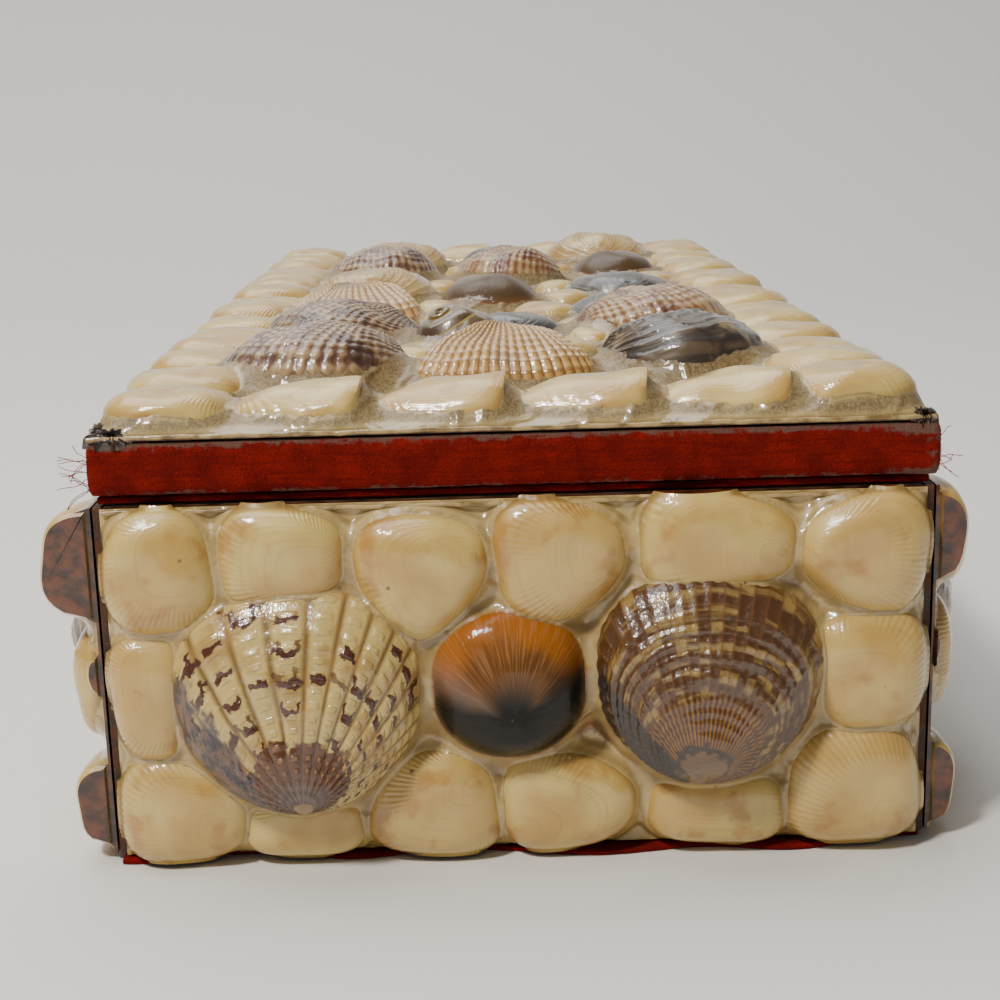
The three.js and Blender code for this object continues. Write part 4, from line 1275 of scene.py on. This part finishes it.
def ribbon_path(step):
    """Points and outward normals round the lid, from the front left corner, anticlockwise."""
    x, y = ribbon_high[0] - CORNER, ribbon_high[1] - CORNER
    corners = [(-x, -y, 180), (x, -y, 270), (x, y, 0), (-x, y, 90)]
    path = []
    for index, (cx, cy, start) in enumerate(corners):
        for part in range(7):
            angle = math.radians(start + 15 * part)
            path.append((cx + CORNER * math.cos(angle), cy + CORNER * math.sin(angle),
                         math.cos(angle), math.sin(angle)))
        nx, ny = math.cos(math.radians(start + 90)), math.sin(math.radians(start + 90))
        next_x, next_y, _ = corners[(index + 1) % 4]
        first = (cx + CORNER * nx, cy + CORNER * ny)
        last = (next_x + CORNER * nx, next_y + CORNER * ny)
        length = math.hypot(last[0] - first[0], last[1] - first[1])
        count = int(length / step)
        for part in range(1, count):
            t = part / count
            path.append((first[0] + (last[0] - first[0]) * t,
                         first[1] + (last[1] - first[1]) * t, nx, ny))
    return path


path = ribbon_path(0.8)
levels = np.linspace(0, 1, 13)
tall = ribbon_high[2] - ribbon_low[2] + 0.9  # it laps up over the edge of the top card
points, worn = [], []
for x, y, nx, ny in path:
    section = [(-RIBBON_THICK, 0.0, 0.0)]
    section += [(-0.35 * abs(2 * t - 1) ** 6, t, t) for t in levels]
    section.append((-RIBBON_THICK, 1.0, 1.0))
    for out, t, level in section:
        wave = 0.0
        if out > -RIBBON_THICK:
            wave = 0.16 * fractal(Vector((x / 4, y / 4, t * 1.5)), 1.0, 2.0, 4)
            fold = min(max((x - 47.6 + t * 1.2) / 0.6, 0), 1) * (y < -100)
            wave += 0.35 * fold
        lift = 0.1 * fractal(Vector((x / 3, y / 3, 9 + t)), 1.0, 2.0, 3)
        points.append((x + nx * (out + wave), y + ny * (out + wave),
                       ribbon_low[2] + tall * t + lift))
        edge = max((t - 0.72) / 0.28, (0.2 - t) / 0.2 * 0.8, 0)
        frayed = max((x - 44) / 7, 0) * 0.5 * (y < -100)
        worn.append(edge * 0.75 + frayed)
ring = len(levels) + 2
faces = []
for i in range(len(path)):
    n = (i + 1) % len(path)
    for j in range(ring):
        k = (j + 1) % ring
        faces.append((i * ring + j, n * ring + j, n * ring + k, i * ring + k))
mesh = bpy.data.meshes.new("lid_ribbon_velvet")
mesh.from_pydata([tuple(c * MM for c in p) for p in points], [], faces)
mesh.attributes.new("worn", "FLOAT", "POINT").data.foreach_set("value", worn)
ribbon_velvet = velvet_material("red_velvet_ribbon", "#86160e", "#560806", "#665044", 0.45)
mesh.materials.append(ribbon_velvet)
solid = bmesh.new()
solid.from_mesh(mesh)
bmesh.ops.recalc_face_normals(solid, faces=solid.faces)
for face in solid.faces:
    face.smooth = True
solid.to_mesh(mesh)
solid.free()
mesh.set_sharp_from_angle(angle=math.radians(60))
ribbon = bpy.data.objects.new("lid_ribbon_velvet", mesh)
bpy.context.scene.collection.objects.link(ribbon)
finish_piece(ribbon, "red_velvet", "lid_ribbon")

# Pile: short fibres that stand off the ribbon every way.
def tree_with_inputs(name, inputs):
    """A geometry tree with named inputs after its geometry, and one geometry output."""
    tree = bpy.data.node_groups.new(name, "GeometryNodeTree")
    tree.interface.new_socket("Geometry", in_out="INPUT", socket_type="NodeSocketGeometry")
    for label, kind in inputs:
        tree.interface.new_socket(label, in_out="INPUT", socket_type=kind)
    tree.interface.new_socket("Geometry", in_out="OUTPUT", socket_type="NodeSocketGeometry")
    return tree, add_node(tree, "NodeGroupInput"), add_node(tree, "NodeGroupOutput")


def grow(name, source, tree, values, material):
    """Run a geometry tree on a source object, and keep what it makes as a plain object."""
    modifier = source.modifiers.new(name, "NODES")
    modifier.node_group = tree
    for item in tree.interface.items_tree:
        if item.in_out == "INPUT" and item.name in values:
            modifier[item.identifier] = values[item.name]
    graph = bpy.context.evaluated_depsgraph_get()
    mesh = bpy.data.meshes.new_from_object(source.evaluated_get(graph))
    source.modifiers.remove(modifier)
    mesh.name = name
    if not mesh.materials:
        mesh.materials.append(material)
    piece = bpy.data.objects.new(name, mesh)
    bpy.context.scene.collection.objects.link(piece)
    return piece


pile_tree, given, result = tree_with_inputs("velvet_pile", [
    ("Per square metre", "NodeSocketFloat"), ("Fibre length", "NodeSocketFloat"),
    ("Fibre radius", "NodeSocketFloat"), ("Lean", "NodeSocketFloat"),
    ("Seed", "NodeSocketInt"), ("Material", "NodeSocketMaterial")])
spots = add_node(pile_tree, "GeometryNodeDistributePointsOnFaces", {
    "Mesh": given.outputs["Geometry"], "Density": given.outputs["Per square metre"],
    "Seed": given.outputs["Seed"]})
fibre = add_node(pile_tree, "GeometryNodeMeshCone", {
    "Vertices": 3, "Radius Bottom": given.outputs["Fibre radius"],
    "Depth": given.outputs["Fibre length"]})
lean_low = add_node(pile_tree, "Math", {0: given.outputs["Lean"], 1: -1.0},
                    operation="MULTIPLY")
lean = add_node(pile_tree, "FunctionNodeRandomValue", {
    0: lean_low.outputs[0], 1: given.outputs["Lean"], "Seed": given.outputs["Seed"]},
    data_type="FLOAT_VECTOR")
upright = add_node(pile_tree, "FunctionNodeAlignRotationToVector", {
    "Vector": spots.outputs["Normal"]}, axis="Z")
leant = add_node(pile_tree, "FunctionNodeRotateRotation", {
    "Rotation": upright.outputs[0], "Rotate By": lean.outputs[0]}, rotation_space="LOCAL")
longer = add_node(pile_tree, "FunctionNodeRandomValue", {
    2: 0.6, 3: 1.3, "Seed": given.outputs["Seed"]}, data_type="FLOAT")
stood = add_node(pile_tree, "GeometryNodeInstanceOnPoints", {
    "Points": spots.outputs["Points"], "Instance": fibre.outputs["Mesh"],
    "Rotation": leant.outputs[0], "Scale": longer.outputs[1]})
made = add_node(pile_tree, "GeometryNodeRealizeInstances", {0: stood.outputs[0]})
dyed = add_node(pile_tree, "GeometryNodeSetMaterial", {
    0: made.outputs[0], "Material": given.outputs["Material"]})
pile_tree.links.new(dyed.outputs[0], result.inputs[0])

fibre_material, tree = new_material("red_velvet_fibres")
place = add_node(tree, "TexCoord").outputs["Object"]
strand = add_node(tree, "TexNoise", place, 1 / (0.6 * MM), 3)
colour = fade(tree, strand, (0.35, 0.65), "#5a0806", "#a8241a")
add_node(tree, "OutputMaterial",
    add_node(tree, "BsdfPrincipled",
        {"Base Color": colour, "Roughness": 0.8, "Specular IOR Level": 0.2}))
piece = grow("lid_ribbon_pile", ribbon, pile_tree, {
    "Per square metre": 1.8e6, "Fibre length": 0.34 * MM, "Fibre radius": 0.045 * MM,
    "Lean": 0.8, "Seed": 3, "Material": fibre_material}, fibre_material)
finish_piece(piece, "red_velvet", "lid_ribbon")

# ---- Loose ends: rolled film, threads and glue ----------------------------------------------
# The film's cut edges shrank into a thin glossy roll along the lid and above the front panel.
# A few threads hang from the ribbon's frayed corners, and dark glue sits in lumps above them.
roll_tree, given, result = tree_with_inputs("rolled_edge", [
    ("Radius", "NodeSocketFloat"), ("Step", "NodeSocketFloat"), ("Uneven", "NodeSocketFloat"),
    ("Lumps per metre", "NodeSocketFloat"), ("Material", "NodeSocketMaterial")])
line = add_node(roll_tree, "GeometryNodeMeshToCurve", given.outputs["Geometry"])
even = add_node(roll_tree, "GeometryNodeResampleCurve", {
    "Curve": line, "Length": given.outputs["Step"]}, mode="LENGTH")
ring = add_node(roll_tree, "GeometryNodeCurvePrimitiveCircle", {
    "Resolution": 6, "Radius": given.outputs["Radius"]})
tube = add_node(roll_tree, "GeometryNodeCurveToMesh", {
    "Curve": even, "Profile Curve": ring, "Fill Caps": True})
lumps = add_node(roll_tree, "TexNoise", {
    "Scale": given.outputs["Lumps per metre"], "Detail": 3.0})
centred = add_node(roll_tree, "VectorMath", lumps.outputs["Color"], (0.5, 0.5, 0.5),
                   operation="SUBTRACT")
moved = add_node(roll_tree, "VectorMath", {
    "Vector": centred, "Scale": given.outputs["Uneven"]}, operation="SCALE")
placed = add_node(roll_tree, "GeometryNodeSetPosition", {"Geometry": tube, "Offset": moved})
made = add_node(roll_tree, "GeometryNodeRealizeInstances", placed)
dyed = add_node(roll_tree, "GeometryNodeSetMaterial", {
    "Geometry": made, "Material": given.outputs["Material"]})
roll_tree.links.new(dyed.outputs[0], result.inputs[0])

roll_material, tree = new_material("rolled_film_edge")
place = add_node(tree, "TexCoord").outputs["Object"]
colour = fade(tree, add_node(tree, "TexNoise", place, 1 / (3.0 * MM), 3), (0.4, 0.6), "#b89c66",
    "#7a6030")
add_node(tree, "OutputMaterial",
    add_node(tree, "BsdfPrincipled",
        {"Base Color": colour, "Roughness": 0.25, "Coat Weight": 1.0, "Coat Roughness": 0.05,
            "Normal": add_node(tree, "Bump",
                {"Height": add_node(tree, "TexNoise", place, 1 / (0.8 * MM), 3), "Distance": 0.12 * MM})}))


def path_object(name, lines):
    """A bare object of poly-lines, each a list of points in millimetres."""
    points, edges = [], []
    for line in lines:
        edges += [(len(points) + i, len(points) + i + 1) for i in range(len(line) - 1)]
        points += [tuple(c * MM for c in point) for point in line]
    mesh = bpy.data.meshes.new(name)
    mesh.from_pydata(points, edges, [])
    holder = bpy.data.objects.new(name, mesh)
    bpy.context.scene.collection.objects.link(holder)
    return holder


def tubes(name, lines, values, material):
    """Tubes along poly-lines, made by the rolled edge tree. The poly-lines are removed."""
    holder = path_object(name + "_path", lines)
    piece = grow(name, holder, roll_tree, dict(values, Material=material), material)
    bpy.data.objects.remove(holder)
    for face in piece.data.polygons:
        face.use_smooth = True
    return piece


film_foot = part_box("top_cream_shells")[0][2] / MM
low, high = top_limits
front_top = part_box("front_cream_shells")[1][2] / MM
front_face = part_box("front_cream_shells")[1][1] / MM
piece = tubes("lid_rolled_film", [
    [(low[0], low[1] + 0.1, film_foot + 0.35), (high[0], low[1] + 0.1, film_foot + 0.35)]],
    {"Radius": 0.32 * MM, "Step": 0.6 * MM, "Uneven": 0.5 * MM, "Lumps per metre": 300.0},
    roll_material)
finish_piece(piece, "cream_shell", "top_cream_shells")
piece = tubes("front_rolled_film", [
    [(low[0] + 1.4, front_face - 0.7, front_top - 0.5),
     (high[0] - 1.4, front_face - 0.7, front_top - 0.5)]],
    {"Radius": 0.3 * MM, "Step": 0.6 * MM, "Uneven": 0.7 * MM, "Lumps per metre": 260.0},
    roll_material)
finish_piece(piece, "cream_shell", "front_cream_shells")


def thread(x, y, z, reach, rise, curl, seed):
    """One loose thread: it leaves the ribbon sideways, rises or falls, and curls."""
    return [(x + reach * t + 0.5 * curl * math.sin(5 * t + seed),
             y - 2.0 * t + 0.4 * curl * math.sin(4 * t + 2 * seed),
             z + rise * t + curl * math.sin(3.1 * t + seed) * t)
            for t in np.linspace(0, 1, 12)]


left, right, front = ribbon_low[0], ribbon_high[0], ribbon_low[1]
threads = [thread(left + 0.3, front + 0.4, 48 + 4.4 * chance(i, 7), -1.4 - 2.2 * chance(i, 3),
                  vary(i, 5, 2.4), 0.6, i) for i in range(14)]
threads += [thread(right - 0.3, front + 0.6, 48 + 4 * chance(i, 9), 1.2 + 2.0 * chance(i, 4),
                   vary(i, 6, 2.0), 0.6, i) for i in range(6)]
piece = tubes("ribbon_loose_threads", threads, {
    "Radius": 0.045 * MM, "Step": 0.3 * MM, "Uneven": 0.0, "Lumps per metre": 100.0},
    fibre_material)
finish_piece(piece, "red_velvet", "lid_ribbon")

lump_material, tree = new_material("black_brown_glue_lump")
place = add_node(tree, "TexCoord").outputs["Object"]
lump = add_node(tree, "TexNoise", place, 1 / (1.2 * MM), 4)
colour = fade(tree, lump, (0.35, 0.65), "#120a06", "#3e2412")
add_node(tree, "OutputMaterial",
    add_node(tree, "BsdfPrincipled",
        {"Base Color": colour, "Roughness": 0.3, "Coat Weight": 1.0, "Coat Roughness": 0.1,
            "Normal": add_node(tree, "Bump", {"Height": lump, "Distance": 0.4 * MM})}))


def bumpy(rows, count):
    return 0.16 * np.sin(rows * 9 + count * 0.9) + 0.12 * np.sin(rows * 5 - count * 2.3)


glue_lumps = [
    shell(low[0] + 2.6, low[1] + 0.9, 6.4, 2.4, -3, 2.2, foot=-1.0, square=2.2, relief=bumpy),
    shell(low[0] + 0.9, low[1] + 3.0, 2.2, 5.0, 0, 2.6, foot=-1.0, square=2.2, relief=bumpy),
    shell(high[0] - 1.3, low[1] + 1.0, 3.6, 2.6, 5, 2.2, foot=-1.0, square=2.2, relief=bumpy),
    shell(high[0] - 0.9, low[1] + 4.0, 2.0, 6.0, 0, 1.8, foot=-1.0, square=2.2, relief=bumpy)]
piece = shells_object("lid_corner_glue", glue_lumps, top_place, [lump_material])
finish_piece(piece, "cream_shell", "top_cream_shells")

# ---- Floor, light and camera ----------------------------------------------------------------
# A plain pale floor that turns up into a backdrop, a small lamp high on the left, a large soft
# light above and behind the box, and the camera low in front of it.
floor_material, tree = new_material("pale_paper_floor")
add_node(tree, "OutputMaterial",
    add_node(tree, "BsdfPrincipled", {"Base Color": linear("#e2dfd9"), "Roughness": 0.9}))
FLOOR_FRONT, FLOOR_BACK, BEND, WALL_TOP, HALF_WIDTH = -3.5, 0.5, 0.25, 1.6, 3.0  # metres
points = []
profile = [(FLOOR_FRONT, 0), (FLOOR_BACK, 0)]
profile += [(FLOOR_BACK + BEND * math.sin(a), BEND - BEND * math.cos(a))
            for a in np.linspace(0.1, math.pi / 2, 12)]
profile.append((FLOOR_BACK + BEND, WALL_TOP))
for y, z in profile:
    points += [(-HALF_WIDTH, y, z), (HALF_WIDTH, y, z)]
faces = [(2 * i, 2 * i + 1, 2 * i + 3, 2 * i + 2) for i in range(len(profile) - 1)]
mesh = bpy.data.meshes.new("floor")
mesh.from_pydata(points, [], faces)
mesh.materials.append(floor_material)
for face in mesh.polygons:
    face.use_smooth = True
floor = bpy.data.objects.new("floor", mesh)
bpy.context.scene.collection.objects.link(floor)

world = bpy.data.worlds.new("studio")
world.use_nodes = True
world.node_tree.nodes["Background"].inputs["Color"].default_value = (0.9, 0.93, 1.0, 1)
world.node_tree.nodes["Background"].inputs["Strength"].default_value = 0.16
bpy.context.scene.world = world


def soft_light(name, place, target, size, watts, colour):
    light = bpy.data.lights.new(name, "AREA")
    light.shape = "RECTANGLE"
    light.size, light.size_y = size
    light.energy = watts
    light.color = colour
    lamp = bpy.data.objects.new(name, light)
    lamp.location = place
    lamp.rotation_euler = (Vector(target) - Vector(place)).to_track_quat("-Z", "Y").to_euler()
    bpy.context.scene.collection.objects.link(lamp)


soft_light("lamp", (-0.3, -0.42, 0.62), (0, -0.05, 0.03), (0.09, 0.09), 5.0, (1, 0.97, 0.9))
soft_light("ceiling", (-0.3, 0.35, 1.1), (0, 0.1, 0), (1.2, 1.0), 15.0, (0.97, 0.98, 1))

camera_data = bpy.data.cameras.new("camera")
camera_data.lens = 59.84
camera_data.sensor_width = 36
camera_data.clip_start = 0.01
camera = bpy.data.objects.new("camera", camera_data)
yaw, pitch, roll = (math.radians(a) for a in (0.555, 13.414, 1.468))
aim = Matrix.Rotation(-yaw, 4, "Z") @ Matrix.Rotation(math.pi / 2 - pitch, 4, "X")
aim = aim @ Matrix.Rotation(-roll, 4, "Z")
camera.matrix_world = Matrix.Translation((-0.00361, -0.30063, 0.0923)) @ aim
bpy.context.scene.collection.objects.link(camera)
bpy.context.scene.camera = camera
